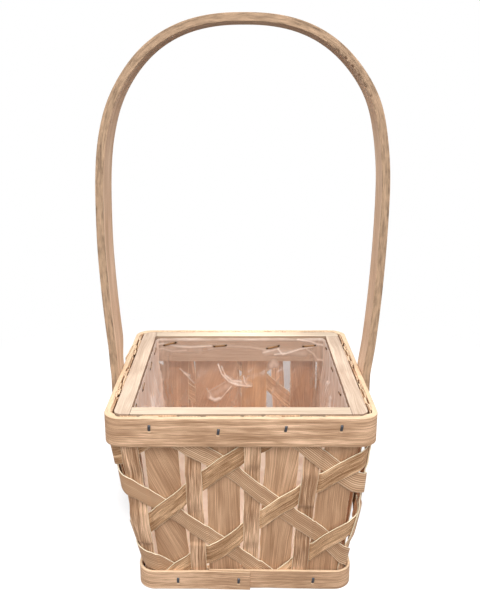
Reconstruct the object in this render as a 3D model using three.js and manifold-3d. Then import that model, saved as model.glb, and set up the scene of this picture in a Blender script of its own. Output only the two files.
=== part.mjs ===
// A square box basket: a wall woven from thin wooden strips, boards and a bent band round the rim,
// a bent band round the base, one bentwood handle and a film liner stapled inside the rim.
// Millimetres, +Z up. The origin is on the floor under the middle of the rim, and the front faces -Y.
import * as THREE from 'three';
import { mergeVertices } from 'three/addons/utils/BufferGeometryUtils.js';
import Module from 'manifold-3d';

const wasm = await Module();
wasm.setup();

// Whole basket
const rimWidth = 184;
const rimTop = 142.9;
const baseWidth = 155.4;
const baseShift = 3;
const cornerRadius = 6.5;
const clearance = 0.3;
const seatGap = 0.1;
const overrun = 4;

// Rim and base
const rimBoardThickness = 11;
const rimBoardHeight = 23.3;
const rimBandThickness = 2.4;
const rimBandHeight = 21.15;
const baseBoardThickness = 13;
const baseBandThickness = 2;
const baseBandHeight = 15.3;
const lapLength = 30;
const lapTipShare = 0.4;
const lapEndShare = 0.35;
const rimLapEnd = -22;
const baseLapEnd = 3.8;

// Woven wall. The widths of its strips, and the height from one crossing to the next, are shares
// of the room between a slat and the stake beside it, where the two stand closest.
const slatWidthShare = 1.334;
const stakeWidthShare = 0.661;
const diagonalWidthShare = 0.7315;
const weaveRiseShare = 1.8373;
const firstCrossingShare = 0.4447;
const slatThickness = 1;
const stripThickness = 1;
const slatHeadDrop = 0.5;
const stakeHeadDrop = 0.4;
const diagonalHeadDrop = 0.7;
const stripFootHeight = 1;
const weaveMargin = 1;
const cornerBulge = 2.2;
const cornerBulgeShare = 0.45;
const bulgeRowHeight = 13;

// Handle
const handleSpan = 209.8;
const handleTop = 399.7;
const handleShoulder = 269.7;
const handleWidth = 25.4;
const handleThickness = 5.9;
const handleShift = -3;
const handleLegDrop = 3;
const handleArchPower = 2.47;

// Liner
const linerFilm = 0.6;
const linerTop = 141.3;
const linerCornerRadius = 6;

// Nails that hold the handle. The right one goes through a wide slat, beside its middle, and the
// left one through the middle of a stake.
const nailShankRadius = 1;
const nailHeadRadius = 2.6;
const nailHeadThickness = 0.8;
const nailTipLength = 1.6;
const nailSlat = 5;
const nailSlatShare = 0.2;
const nailStake = 14;
const nailBelowRim = 10.5;

// Facets
const nailSides = 8;
const cornerSteps = 6;
const linerCornerSteps = 3;
const handleSideSteps = 7;
const handleArchSteps = 15;
const solveSteps = 40;
const straightSplitShares = [0, 1];
const slatCornerSplitShares = [0, 0.8, 0.9, 1];
const stakeCornerSplitShares = [0, 1 / 6, 1 / 3, 0.5, 2 / 3, 5 / 6, 1];
const cornerBendShares = [-1, -2 / 3, -1 / 3, 0, 1 / 3, 2 / 3, 1];
const bulgeStepShares = [0.6, 1];

// The strips' places on one side, in slat pitches from its middle, at the rim and at the base.
// Every side carries the same four wide slats and four narrow stakes, but the slats of the back
// stand where the basket's inside shows them, and one of them is wider.
const sides = 4;
const sideSlats = 4;
const backSide = 2;
const slatRimShares = [-1.28, -0.28, 0.665, 1.6];
const slatBaseShares = [-1.465, -0.419, 0.615, 1.62];
const backSlatRimShares = [-1.323, -0.289, 0.516, 1.37];
const backSlatBaseShares = [-1.52, -0.264, 0.713, 1.75];
const backSlatWidthShares = [1, 1, 1.667, 1];
const stakeRimShares = [-1.77, -0.77, 0.19, 1.15];
const stakeBaseShares = [-1.965, -0.955, 0.116, 1.129];

// How far each crossing over a wide slat sits above its regular height, as a share of the rise
// from one crossing to the next: for each slat of a side, its lower and its upper crossing.
const driftShares = [[0.14, -0.05], [-0.086, 0.108], [-0.083, 0.006], [0.064, -0.057]];
const sideDriftShares = [1, -0.7, 0.8, -0.9];

// Worked out from the sizes above: the layers between the boards' face and the bands, and how far
// the outer face of a strip stands off the boards' face where it runs under or over another strip.
const slatCount = sides * sideSlats;
const layerStack = slatThickness + 2 * stripThickness + 4 * clearance;
const slatOut = clearance + slatThickness;
const underOut = slatOut + clearance + stripThickness;
const overOut = underOut + clearance + stripThickness;
const rimFace = rimWidth / 2 - rimBandThickness - layerStack;
const baseFace = baseWidth / 2 - baseBandThickness - layerStack;
const boardInnerFace = rimFace - rimBoardThickness;
const wallFoot = baseBandHeight + 2 * clearance;
const wallHead = rimTop - rimBoardHeight;
const strandRoom = Math.min(
  closestShare(stakeBaseShares, slatBaseShares) * pitchLength(0),
  closestShare(stakeRimShares, slatRimShares) * pitchLength(1),
);
const slatWidth = slatWidthShare * strandRoom;
const stakeWidth = stakeWidthShare * strandRoom;
const diagonalWidth = diagonalWidthShare * strandRoom;
const weaveRise = weaveRiseShare * strandRoom;
const firstCrossing = firstCrossingShare * strandRoom;
const diagonalHalfHeight = diagonalWidth / 2 / Math.cos(Math.atan(weaveRise / pitchLength(0.5)));
const legInnerFace = rimWidth / 2 + clearance;
const legOuterFace = legInnerFace + handleThickness;
const climbSpan = 2 * Math.ceil(rimTop / weaveRise);

const { lerp, clamp, smoothstep } = THREE.MathUtils;

// Woods and metals
const finishes = {
  slat: { color: 0xcfa98b, roughness: 0.7, metalness: 0 },
  stake: { color: 0xcfae86, roughness: 0.7, metalness: 0 },
  rising: { color: 0xcba77e, roughness: 0.7, metalness: 0 },
  falling: { color: 0xc9a68a, roughness: 0.7, metalness: 0 },
  band: { color: 0xe3c29b, roughness: 0.65, metalness: 0 },
  board: { color: 0xf0d9b8, roughness: 0.75, metalness: 0 },
  handle: { color: 0xc39f79, roughness: 0.7, metalness: 0 },
  film: { color: 0xf2efec, roughness: 0.2, metalness: 0 },
  steel: { color: 0x8d8782, roughness: 0.4, metalness: 1 },
};

// The wall's shape. It stands upright inside both bands and leans outwards between them.
function lean(z) {
  return Math.min(1, Math.max(0, (z - wallFoot) / (wallHead - wallFoot)));
}

function faceHalf(z) {
  return baseFace + (rimFace - baseFace) * lean(z);
}

function centreX(z) {
  return baseShift * (1 - lean(z));
}

// Half a side is two slat pitches long, and this much of it is flat. The rest is the corner.
function flatPitches() {
  const flat = (rimFace + baseFace) / 2 - cornerRadius;
  return sideSlats / 2 * flat / (flat + cornerRadius * Math.PI / 4);
}

function pitchLength(share) {
  return (baseFace + (rimFace - baseFace) * share - cornerRadius) / flatPitches();
}

// The least distance between a stake and a slat next to it on one side, in pitches
function closestShare(stakeShares, slatShares) {
  const gaps = slatShares.map((share, place) => share - stakeShares[place]);
  for (let place = 1; place < sideSlats; place += 1) {
    gaps.push(stakeShares[place] - slatShares[place - 1]);
  }
  return Math.min(...gaps);
}

// A column counts slat pitches anticlockwise from the middle of the front. out is the distance
// outside the boards' face, whose half width is given.
function outlinePoint(column, half, out) {
  const side = Math.round(column / sideSlats);
  const along = column - side * sideSlats;
  const flat = half - cornerRadius;
  const beyond = Math.max(0, Math.abs(along) - flatPitches());
  const turn = beyond / (sideSlats / 2 - flatPitches()) * Math.PI / 4;
  const reach = Math.min(Math.abs(along), flatPitches()) / flatPitches() * flat;
  const radius = cornerRadius + out;
  const across = Math.sign(along) * (reach + radius * Math.sin(turn));
  const point = new THREE.Vector2(across, -(flat + radius * Math.cos(turn)));
  return point.rotateAround(new THREE.Vector2(), side * Math.PI / 2);
}

function wallPoint(column, z, out) {
  const point = outlinePoint(column, faceHalf(z), out);
  return new THREE.Vector3(point.x + centreX(z), point.y, z);
}

// Lengths round the wall, through the middle of its layers, and back to columns
function cornerHalfArc() {
  return (cornerRadius + layerStack / 2) * Math.PI / 4;
}

function lengthAt(column, z) {
  const side = Math.round(column / sideSlats);
  const along = column - side * sideSlats;
  const flat = faceHalf(z) - cornerRadius;
  const beyond = Math.max(0, Math.abs(along) - flatPitches());
  const bent = beyond / (sideSlats / 2 - flatPitches()) * cornerHalfArc();
  const straight = Math.min(Math.abs(along), flatPitches()) / flatPitches() * flat;
  return side * 2 * (flat + cornerHalfArc()) + Math.sign(along) * (straight + bent);
}

function columnAt(length, z) {
  const flat = faceHalf(z) - cornerRadius;
  const sideLength = 2 * (flat + cornerHalfArc());
  const side = Math.round(length / sideLength);
  const along = length - side * sideLength;
  const beyond = Math.max(0, Math.abs(along) - flat);
  const straight = Math.min(Math.abs(along), flat) / flat * flatPitches();
  const bent = beyond / cornerHalfArc() * (sideSlats / 2 - flatPitches());
  return side * sideSlats + Math.sign(along) * (straight + bent);
}

// Where slat or stake number index stands at height z
function stripColumn(rimShares, baseShares, index, z) {
  const side = Math.floor(index / sideSlats);
  const place = index - side * sideSlats;
  return side * sideSlats + lerp(baseShares[place], rimShares[place], lean(z));
}

function slatColumn(index, z) {
  return stripColumn(slatRimShares, slatBaseShares, index, z);
}

function stakeColumn(index, z) {
  return stripColumn(stakeRimShares, stakeBaseShares, index, z);
}

// The weave counts stakes: stake i is at weave i, and slat i, which follows it, at i and a half.
function weaveColumn(weave, z) {
  const index = Math.floor(weave);
  const part = weave - index;
  if (part < 0.5) {
    return lerp(stakeColumn(index, z), slatColumn(index, z), 2 * part);
  }
  return lerp(slatColumn(index, z), stakeColumn(index + 1, z), 2 * part - 1);
}

// The strips that weave stand off the wall where they round a corner.
function bulgeAt(column, z) {
  const corner = (Math.round(column / sideSlats - 0.5) + 0.5) * sideSlats;
  const away = Math.min(1, Math.abs(column - corner) / cornerBulgeShare);
  return cornerBulge * (1 - away ** 2) ** 2 * Math.sin(Math.PI * lean(z)) ** 2;
}

// A diagonal is counted by its climb: 0 at the slat where it has its lowest crossing, and one
// more at each slat on. direction is 1 where it rises with the columns, and -1 where it falls.
function crossingDrift(slatIndex, level) {
  const index = THREE.MathUtils.euclideanModulo(slatIndex, slatCount);
  const side = Math.floor(index / sideSlats);
  const drift = driftShares[index - side * sideSlats][Math.floor(level / 2)];
  return drift === undefined ? 0 : drift * sideDriftShares[side];
}

function climbHeight(diagonal, climb) {
  const level = Math.floor(climb);
  const slatIndex = 2 * diagonal.strand + diagonal.direction * level;
  const from = crossingDrift(slatIndex, level);
  const to = crossingDrift(slatIndex + diagonal.direction, level + 1);
  return firstCrossing + weaveRise * (climb + lerp(from, to, smoothstep(climb - level, 0, 1)));
}

function climbColumn(diagonal, climb) {
  const weave = 0.5 + 2 * diagonal.strand + diagonal.direction * climb;
  return weaveColumn(weave, climbHeight(diagonal, climb));
}

// The climb where a rising function reaches a value
function solveClimb(value, from, to, reading) {
  let low = from;
  let high = to;
  for (let step = 0; step < solveSteps; step += 1) {
    const middle = (low + high) / 2;
    if (reading(middle) < value) low = middle;
    else high = middle;
  }
  return (low + high) / 2;
}

// A closed body from a list of points and triangles: shared corners are merged and empty
// triangles are left out.
function closedBody(points, triangles) {
  const geometry = new THREE.BufferGeometry();
  const positions = points.flatMap((point) => point.toArray());
  geometry.setAttribute('position', new THREE.Float32BufferAttribute(positions, 3));
  geometry.setIndex(triangles.flat());
  const merged = mergeVertices(geometry);
  const kept = [];
  for (let start = 0; start < merged.index.count; start += 3) {
    const corners = [0, 1, 2].map((offset) => merged.index.getX(start + offset));
    if (new Set(corners).size === 3) kept.push(...corners);
  }
  merged.setIndex(kept);
  return merged;
}

// A closed sheet on the wall. grid[i][j] holds { column, z, out } and runs anticlockwise with i
// and upwards with j.
function wallSheet(grid, thickness) {
  const rows = grid[0].length;
  const points = [];
  for (const depth of [0, thickness]) {
    for (const cell of grid.flat()) points.push(wallPoint(cell.column, cell.z, cell.out - depth));
  }
  const outer = (i, j) => i * rows + j;
  const inner = (i, j) => (grid.length + i) * rows + j;
  const triangles = [];
  const quad = (a, b, c, d) => triangles.push([a, b, c], [a, c, d]);
  const last = grid.length - 1;
  const top = rows - 1;
  for (let i = 0; i < last; i += 1) {
    for (let j = 0; j < top; j += 1) {
      quad(outer(i, j), outer(i + 1, j), outer(i + 1, j + 1), outer(i, j + 1));
      quad(inner(i, j), inner(i, j + 1), inner(i + 1, j + 1), inner(i + 1, j));
    }
    quad(outer(i, 0), inner(i, 0), inner(i + 1, 0), outer(i + 1, 0));
    quad(outer(i, top), outer(i + 1, top), inner(i + 1, top), inner(i, top));
  }
  for (let j = 0; j < top; j += 1) {
    quad(outer(0, j), outer(0, j + 1), inner(0, j + 1), inner(0, j));
    quad(outer(last, j), inner(last, j), inner(last, j + 1), outer(last, j + 1));
  }
  return closedBody(points, triangles);
}

// A wide slat or a narrow stake: a straight strip, split across its width at the given shares
// where it bends round a corner.
function uprightStrip(columnAtHeight, width, splitShares, rows, thickness) {
  const grid = splitShares.map((share) => rows.map(({ z, out }) => {
    const length = lengthAt(columnAtHeight(z), z) + (share - 0.5) * width;
    const column = columnAt(length, z);
    const bulge = out > slatOut ? bulgeAt(column, z) : 0;
    return { column, z, out: out + bulge };
  }));
  return wallSheet(grid, thickness);
}

// The slats of the back stand apart from the places that the weave counts by.
function wideSlat(index) {
  const atBack = Math.floor(index / sideSlats) === backSide;
  const rimShares = atBack ? backSlatRimShares : slatRimShares;
  const baseShares = atBack ? backSlatBaseShares : slatBaseShares;
  const width = slatWidth * (atBack ? backSlatWidthShares[index % sideSlats] : 1);
  const atCorner = index % sideSlats === sideSlats - 1;
  const splitShares = atCorner ? slatCornerSplitShares : straightSplitShares;
  const heights = [stripFootHeight, wallFoot, wallHead, rimTop - slatHeadDrop];
  const rows = heights.map((z) => ({ z, out: slatOut }));
  const column = (z) => stripColumn(rimShares, baseShares, index, z);
  return uprightStrip(column, width, splitShares, rows, slatThickness);
}

// Heights where a stake changes level: it runs over the rising diagonals and under the falling.
function stakeKnots(index) {
  const crossings = [];
  for (const diagonal of diagonals()) {
    const steps = diagonal.direction * (index - 0.5 - 2 * diagonal.strand);
    const climb = THREE.MathUtils.euclideanModulo(steps + slatCount / 2, slatCount) - slatCount / 2;
    const z = climbHeight(diagonal, climb);
    const out = diagonal.direction > 0 ? overOut : underOut;
    if (z > -weaveRise && z < rimTop + weaveRise) crossings.push({ z, out });
  }
  crossings.sort((a, b) => a.z - b.z);
  const knots = [];
  for (let i = 1; i < crossings.length; i += 1) {
    const [below, above] = [crossings[i - 1], crossings[i]];
    const middle = (below.z + above.z) / 2;
    const slope = weaveRise / pitchLength(lean(middle));
    const zone = diagonalHalfHeight + slope * (stakeWidth / 2 + weaveMargin);
    const rest = Math.max(clearance, (above.z - below.z) / 2 - zone);
    knots.push({ z: middle - rest, out: below.out }, { z: middle + rest, out: above.out });
  }
  return knots;
}

function outAtHeight(knots, z) {
  const above = knots.findIndex((knot) => knot.z >= z);
  if (above < 1) return knots[above === 0 ? 0 : knots.length - 1].out;
  const [low, high] = [knots[above - 1], knots[above]];
  return lerp(low.out, high.out, (z - low.z) / (high.z - low.z));
}

function narrowStake(index) {
  const atCorner = index % sideSlats === 0;
  const splitShares = atCorner ? stakeCornerSplitShares : straightSplitShares;
  const head = rimTop - stakeHeadDrop;
  const knots = stakeKnots(index);
  const heights = [stripFootHeight, wallFoot, wallHead, head];
  for (const { z } of knots) {
    if (z > stripFootHeight + clearance && z < head - clearance) heights.push(z);
  }
  heights.sort((a, b) => a - b);
  const rows = [];
  heights.forEach((z, i) => {
    const gap = i > 0 ? z - heights[i - 1] : 0;
    const extra = atCorner ? Math.ceil(gap / bulgeRowHeight) : 1;
    for (let part = 1; part < extra; part += 1) rows.push(z - gap * (1 - part / extra));
    rows.push(z);
  });
  const levels = rows.map((z) => ({ z, out: outAtHeight(knots, z) }));
  return uprightStrip((z) => stakeColumn(index, z), stakeWidth, splitShares, levels, stripThickness);
}

function diagonals() {
  const all = [];
  for (const direction of [1, -1]) {
    for (let strand = 0; strand < slatCount / 2; strand += 1) all.push({ direction, strand });
  }
  return all;
}

// Between a slat and the stake half a climb on, a diagonal keeps one level over the first zone
// and the other over the last. The zones are given in climbs.
function levelZones(diagonal, slatClimb, side) {
  const slatIndex = 2 * diagonal.strand + diagonal.direction * slatClimb;
  const stakeIndex = slatIndex + (diagonal.direction * side > 0 ? 1 : 0);
  const z = climbHeight(diagonal, slatClimb + side / 4);
  const apart = lengthAt(stakeColumn(stakeIndex, z), z) - lengthAt(slatColumn(slatIndex, z), z);
  const length = Math.abs(apart);
  const slatZone = 0.5 * (diagonalHalfHeight / (weaveRise / 2) + weaveMargin / length);
  const stakeZone = 0.5 * (stakeWidth / 2 + weaveMargin) / length;
  const spare = Math.max(0, slatZone + stakeZone - 0.5) / 2;
  return { slat: slatZone - spare, stake: stakeZone - spare };
}

function diagonalOut(diagonal, climb) {
  const slatClimb = Math.round(climb);
  const side = climb < slatClimb ? -1 : 1;
  const zones = levelZones(diagonal, slatClimb, side);
  const away = Math.abs(climb - slatClimb);
  const part = clamp((away - zones.slat) / Math.max(Number.EPSILON, 0.5 - zones.slat - zones.stake), 0, 1);
  const atSlat = diagonal.direction > 0 ? overOut : underOut;
  const atStake = diagonal.direction > 0 ? underOut : overOut;
  return lerp(atSlat, atStake, part);
}

// Columns where a corner's facets meet, and where the strips' bulge starts and bends
function cornerColumns() {
  const bend = sideSlats / 2 - flatPitches();
  const steps = cornerBendShares.map((share) => share * bend);
  for (const share of bulgeStepShares) steps.push(share * cornerBulgeShare, -share * cornerBulgeShare);
  return steps;
}

function diagonalStrip(diagonal) {
  const foot = stripFootHeight;
  const head = rimTop - diagonalHeadDrop;
  const heightOf = (climb) => climbHeight(diagonal, climb);
  const climbAtHeight = (z) => solveClimb(z, -climbSpan, climbSpan, heightOf);
  const start = climbAtHeight(foot - diagonalHalfHeight);
  const end = climbAtHeight(head + diagonalHalfHeight);
  const climbs = [start, end];
  for (const z of [foot, wallFoot, wallHead, head]) {
    climbs.push(climbAtHeight(z - diagonalHalfHeight), climbAtHeight(z + diagonalHalfHeight));
  }
  for (let slatClimb = Math.floor(start); slatClimb <= Math.ceil(end); slatClimb += 1) {
    for (const side of [-1, 1]) {
      const zones = levelZones(diagonal, slatClimb, side);
      climbs.push(slatClimb + side * zones.slat, slatClimb + side * (0.5 - zones.stake));
    }
  }
  const turned = (climb) => diagonal.direction * climbColumn(diagonal, climb);
  for (let corner = -2; corner < 2 * sides; corner += 1) {
    for (const step of cornerColumns()) {
      const column = diagonal.direction * ((corner + 0.5) * sideSlats + step);
      if (column > turned(start) && column < turned(end)) {
        climbs.push(solveClimb(column, start, end, turned));
      }
    }
  }
  const spacing = clearance / pitchLength(0);
  const inside = climbs.filter((climb) => climb >= start && climb <= end).sort((a, b) => a - b);
  const kept = inside.filter((climb, i) => i === 0 || climb - inside[i - 1] > spacing || climb === end);
  const grid = kept.map((climb) => {
    const column = climbColumn(diagonal, climb);
    const middle = heightOf(climb);
    const low = clamp(middle - diagonalHalfHeight, foot, head);
    const high = clamp(middle + diagonalHalfHeight, foot, head);
    const out = diagonalOut(diagonal, climb);
    const heights = [low, clamp(wallFoot, low, high), clamp(wallHead, low, high), high];
    return heights.map((z) => ({ column, z, out: out + bulgeAt(column, z) }));
  });
  if (diagonal.direction < 0) grid.reverse();
  return wallSheet(grid, stripThickness);
}

// Solids for cuts
function toSolid(geometry) {
  const bare = geometry.clone();
  bare.deleteAttribute('normal');
  bare.deleteAttribute('uv');
  const merged = mergeVertices(bare);
  const vertProperties = new Float32Array(merged.attributes.position.array);
  const triVerts = new Uint32Array(merged.index.array);
  return new wasm.Manifold(new wasm.Mesh({ numProp: 3, vertProperties, triVerts }));
}

function toGeometry(solid) {
  const mesh = solid.getMesh();
  const geometry = new THREE.BufferGeometry();
  geometry.setAttribute('position', new THREE.BufferAttribute(mesh.vertProperties, 3));
  geometry.setIndex(new THREE.BufferAttribute(mesh.triVerts, 1));
  return geometry;
}

function boxOf(geometry) {
  return new THREE.Box3().setFromBufferAttribute(geometry.attributes.position);
}

// Takes the cutters that reach a piece out of it
function cut(geometry, cutters) {
  const box = boxOf(geometry);
  const near = cutters.filter((cutter) => boxOf(cutter).intersectsBox(box));
  if (near.length === 0) return geometry;
  let solid = toSolid(geometry);
  for (const cutter of near) solid = solid.subtract(toSolid(cutter));
  return toGeometry(solid);
}

// Rim boards: each is drawn as the front one, with its outer face at -Y, then turned to its side.
// The left board runs from corner to corner. The back board butts it and runs to the right
// corner, the right board butts the back board and runs to the front corner, and the front
// board fits between the left and the right one.
function rimBoard({ side, left, right, roundLeft, roundRight }) {
  const shape = new THREE.Shape();
  const radius = cornerRadius;
  shape.moveTo(right, -boardInnerFace);
  shape.lineTo(left, -boardInnerFace);
  if (roundLeft) shape.absarc(left + radius, radius - rimFace, radius, Math.PI, 1.5 * Math.PI);
  else shape.lineTo(left, -rimFace);
  if (roundRight) shape.absarc(right - radius, radius - rimFace, radius, 1.5 * Math.PI, 2 * Math.PI);
  else shape.lineTo(right, -rimFace);
  shape.closePath();
  const geometry = new THREE.ExtrudeGeometry(shape, {
    depth: rimBoardHeight, bevelEnabled: false, curveSegments: cornerSteps,
  });
  return geometry.translate(0, 0, wallHead).rotateZ(side * Math.PI / 2);
}

const butt = boardInnerFace - clearance;
const boardRuns = [
  { name: 'front', side: 0, left: -butt, right: butt },
  { name: 'right', side: 1, left: -rimFace, right: butt, roundLeft: true },
  { name: 'back', side: 2, left: -rimFace, right: butt, roundLeft: true },
  { name: 'left', side: 3, left: -rimFace, right: rimFace, roundLeft: true, roundRight: true },
];

function baseBoard() {
  const flat = baseFace - cornerRadius;
  const shape = new THREE.Shape();
  for (let corner = 0; corner < sides; corner += 1) {
    const turn = corner * Math.PI / 2;
    const middle = new THREE.Vector2(flat, flat).rotateAround(new THREE.Vector2(), turn);
    shape.absarc(middle.x, middle.y, cornerRadius, turn, turn + Math.PI / 2);
  }
  shape.closePath();
  const options = { depth: baseBoardThickness, bevelEnabled: false, curveSegments: cornerSteps };
  return new THREE.ExtrudeGeometry(shape, options).translate(baseShift, 0, 0);
}

// The columns between which one end of a band runs over the other
function lapColumns(band) {
  const end = columnAt(lengthAt(band.lapSide * sideSlats, band.z) + band.lapEnd, band.z);
  return { start: end - lapLength / pitchLength(lean(band.z)), end };
}

// A bent band, drawn from above: its inner end starts thin at the lap, it runs once round and
// its outer end runs over the inner one.
function bentBand(band) {
  const { start, end } = lapColumns(band);
  const bend = sideSlats / 2 - flatPitches();
  const corners = [];
  for (let corner = 0; corner < 2 * sides; corner += 1) {
    for (const share of cornerBendShares) corners.push((corner + 0.5) * sideSlats + share * bend);
  }
  const full = band.thickness;
  const tip = lapTipShare * full;
  const around = corners.filter((column) => column > end && column < start + slatCount);
  const backOff = clearance / pitchLength(lean(band.z));
  const outside = [[start, tip], [end, full], ...around.map((column) => [column, full])];
  outside.push([start + slatCount, full]);
  outside.push([end + slatCount, full + clearance + lapEndShare * full]);
  const inside = [[start, 0], ...around.map((column) => [column, 0])];
  inside.push([start + slatCount - backOff, 0], [start + slatCount - backOff, tip + clearance]);
  inside.push([end + slatCount, full + clearance]);
  const at = ([column, out]) => outlinePoint(column, faceHalf(band.z), layerStack + out);
  const shape = new THREE.Shape([...outside.map(at), ...inside.reverse().map(at)]);
  const geometry = new THREE.ExtrudeGeometry(shape, { depth: band.height, bevelEnabled: false });
  return geometry.translate(centreX(band.z), 0, band.z);
}

const rimBandPlace = {
  z: rimTop - rimBandHeight, height: rimBandHeight, thickness: rimBandThickness,
  lapSide: 3, lapEnd: rimLapEnd,
};
const baseBandPlace = {
  z: 0, height: baseBandHeight, thickness: baseBandThickness,
  lapSide: 0, lapEnd: baseLapEnd,
};

// The handle's outer outline: upright legs on the rim band, sides that lean out to the shoulder,
// and a squarish arch above it
function handleOutline() {
  const half = handleSpan / 2;
  const rise = handleTop - handleShoulder;
  const points = [new THREE.Vector2(legOuterFace, rimTop - rimBandHeight - handleLegDrop)];
  for (let step = handleSideSteps; step > 0; step -= 1) {
    const part = step / handleSideSteps;
    const x = half - (half - legOuterFace) * part ** 2;
    points.push(new THREE.Vector2(x, lerp(handleShoulder, rimTop, part)));
  }
  for (let step = 0; step <= handleArchSteps; step += 1) {
    const angle = step / handleArchSteps * Math.PI / 2;
    const x = half * Math.cos(angle) ** (2 / handleArchPower);
    const z = handleShoulder + rise * Math.sin(angle) ** (2 / handleArchPower);
    points.push(new THREE.Vector2(step === handleArchSteps ? 0 : x, z));
  }
  const mirrored = points.slice(0, -1).reverse().map((point) => new THREE.Vector2(-point.x, point.y));
  return [...points, ...mirrored];
}

function handleStrap() {
  const outer = handleOutline();
  const inner = outer.map((point, i) => {
    const before = outer[Math.max(0, i - 1)];
    const after = outer[Math.min(outer.length - 1, i + 1)];
    const run = after.clone().sub(before).normalize();
    return new THREE.Vector2(point.x - run.y * handleThickness, point.y + run.x * handleThickness);
  });
  inner[1].x = legInnerFace;
  inner[inner.length - 2].x = -legInnerFace;
  inner[1].y = rimTop;
  inner[inner.length - 2].y = rimTop;
  const shape = new THREE.Shape([...outer, ...inner.reverse()]);
  const geometry = new THREE.ExtrudeGeometry(shape, { depth: handleWidth, bevelEnabled: false });
  return geometry.rotateX(Math.PI / 2).translate(0, handleShift + handleWidth / 2, 0);
}

// The liner: an open tray of film, as wide as the boards leave at the top and as the base at
// the bottom. Rings of points run up outside, over the edge and down inside.
function linerRing(half, shiftX, z) {
  const ring = [];
  for (let corner = 0; corner < sides; corner += 1) {
    for (let step = 0; step <= linerCornerSteps; step += 1) {
      const angle = (corner + step / linerCornerSteps) * Math.PI / 2;
      const flat = half - linerCornerRadius;
      const middle = new THREE.Vector2(flat, flat).rotateAround(new THREE.Vector2(), corner * Math.PI / 2);
      const x = shiftX + middle.x + linerCornerRadius * Math.cos(angle);
      ring.push(new THREE.Vector3(x, middle.y + linerCornerRadius * Math.sin(angle), z));
    }
  }
  return ring;
}

function filmLiner() {
  const topHalf = boardInnerFace - seatGap;
  const floorHalf = baseFace - 2 * clearance;
  const floor = baseBoardThickness + clearance;
  const rings = [
    linerRing(floorHalf, baseShift, floor),
    linerRing(topHalf, 0, wallHead),
    linerRing(topHalf, 0, linerTop),
    linerRing(topHalf - linerFilm, 0, linerTop),
    linerRing(topHalf - linerFilm, 0, wallHead),
    linerRing(floorHalf - linerFilm, baseShift, floor + linerFilm),
  ];
  const count = rings[0].length;
  const triangles = [];
  for (let ring = 0; ring + 1 < rings.length; ring += 1) {
    for (let i = 0; i < count; i += 1) {
      const [a, b] = [ring * count + i, ring * count + (i + 1) % count];
      triangles.push([a, b, b + count], [a, b + count, a + count]);
    }
  }
  const lastRing = (rings.length - 1) * count;
  for (let i = 1; i + 1 < count; i += 1) {
    triangles.push([0, i + 1, i], [lastRing, lastRing + i, lastRing + i + 1]);
  }
  return closedBody(rings.flat(), triangles);
}

// Nails along X through the handle's legs, the rim band, the wall and the side boards
function nailBody() {
  const tip = boardInnerFace;
  const seat = legOuterFace + seatGap;
  const profile = [
    [0, tip], [nailShankRadius, tip + nailTipLength], [nailShankRadius, seat],
    [nailHeadRadius, seat], [nailHeadRadius, seat + nailHeadThickness],
    [0, seat + nailHeadThickness],
  ];
  const points = profile.map(([radius, along]) => new THREE.Vector2(radius, along));
  return new THREE.LatheGeometry(points, nailSides).rotateZ(-Math.PI / 2);
}

function nailHole() {
  const length = legOuterFace - boardInnerFace + 2 * overrun;
  const radius = nailShankRadius + clearance;
  const hole = new THREE.CylinderGeometry(radius, radius, length, nailSides);
  return hole.translate(0, boardInnerFace - overrun + length / 2, 0).rotateZ(-Math.PI / 2);
}

// side is 1 for the right leg and -1 for the left one
function nailed(geometry, side) {
  const turned = geometry.clone();
  if (side < 0) turned.rotateZ(Math.PI);
  const z = rimTop - nailBelowRim;
  const slatY = wallPoint(slatColumn(nailSlat, z), z, 0).y + nailSlatShare * slatWidth;
  const stakeY = wallPoint(stakeColumn(nailStake, z), z, 0).y;
  return turned.translate(0, side > 0 ? slatY : stakeY, z);
}

// The basket
const basket = new THREE.Group();

function add(group, name, finish, geometry) {
  const material = new THREE.MeshStandardMaterial(finishes[finish]);
  const mesh = new THREE.Mesh(geometry, material);
  mesh.name = name;
  group.add(mesh);
}

const nailHoles = [-1, 1].map((side) => nailed(nailHole(), side));

const wall = new THREE.Group();
for (let index = 0; index < slatCount; index += 1) {
  const number = String(index + 1).padStart(2, '0');
  add(wall, `wide_slat_${number}`, 'slat', cut(wideSlat(index), nailHoles));
  add(wall, `narrow_stake_${number}`, 'stake', cut(narrowStake(index), nailHoles));
}
for (const diagonal of diagonals()) {
  const kind = diagonal.direction > 0 ? 'rising' : 'falling';
  add(wall, `${kind}_diagonal_${diagonal.strand + 1}`, kind, cut(diagonalStrip(diagonal), nailHoles));
}

const rim = new THREE.Group();
for (const run of boardRuns) {
  add(rim, `rim_board_${run.name}`, 'board', cut(rimBoard(run), nailHoles));
}
add(rim, 'rim_band', 'band', cut(bentBand(rimBandPlace), nailHoles));

const base = new THREE.Group();
add(base, 'base_board', 'board', baseBoard());
add(base, 'base_band', 'band', bentBand(baseBandPlace));

const carrying = new THREE.Group();
add(carrying, 'handle', 'handle', cut(handleStrap(), nailHoles));
add(carrying, 'handle_nail_left', 'steel', nailed(nailBody(), -1));
add(carrying, 'handle_nail_right', 'steel', nailed(nailBody(), 1));

const lining = new THREE.Group();
add(lining, 'liner', 'film', filmLiner());

basket.add(base, wall, rim, carrying, lining);

export default basket;
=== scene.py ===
"""Looks of a square box basket: a wall woven from thin wooden strips, a boarded rim and bent bands,
one bentwood handle and a wrinkled film liner. Blender 4.5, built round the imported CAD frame.

Sizes are in millimetres, and a mesh turns into metres when it is made. Only the stage, the lamps
and the camera are in metres. The shape of the wall follows the same formulas as the solids, with
more points, smooth bends and worn edges.
"""
import math

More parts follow.
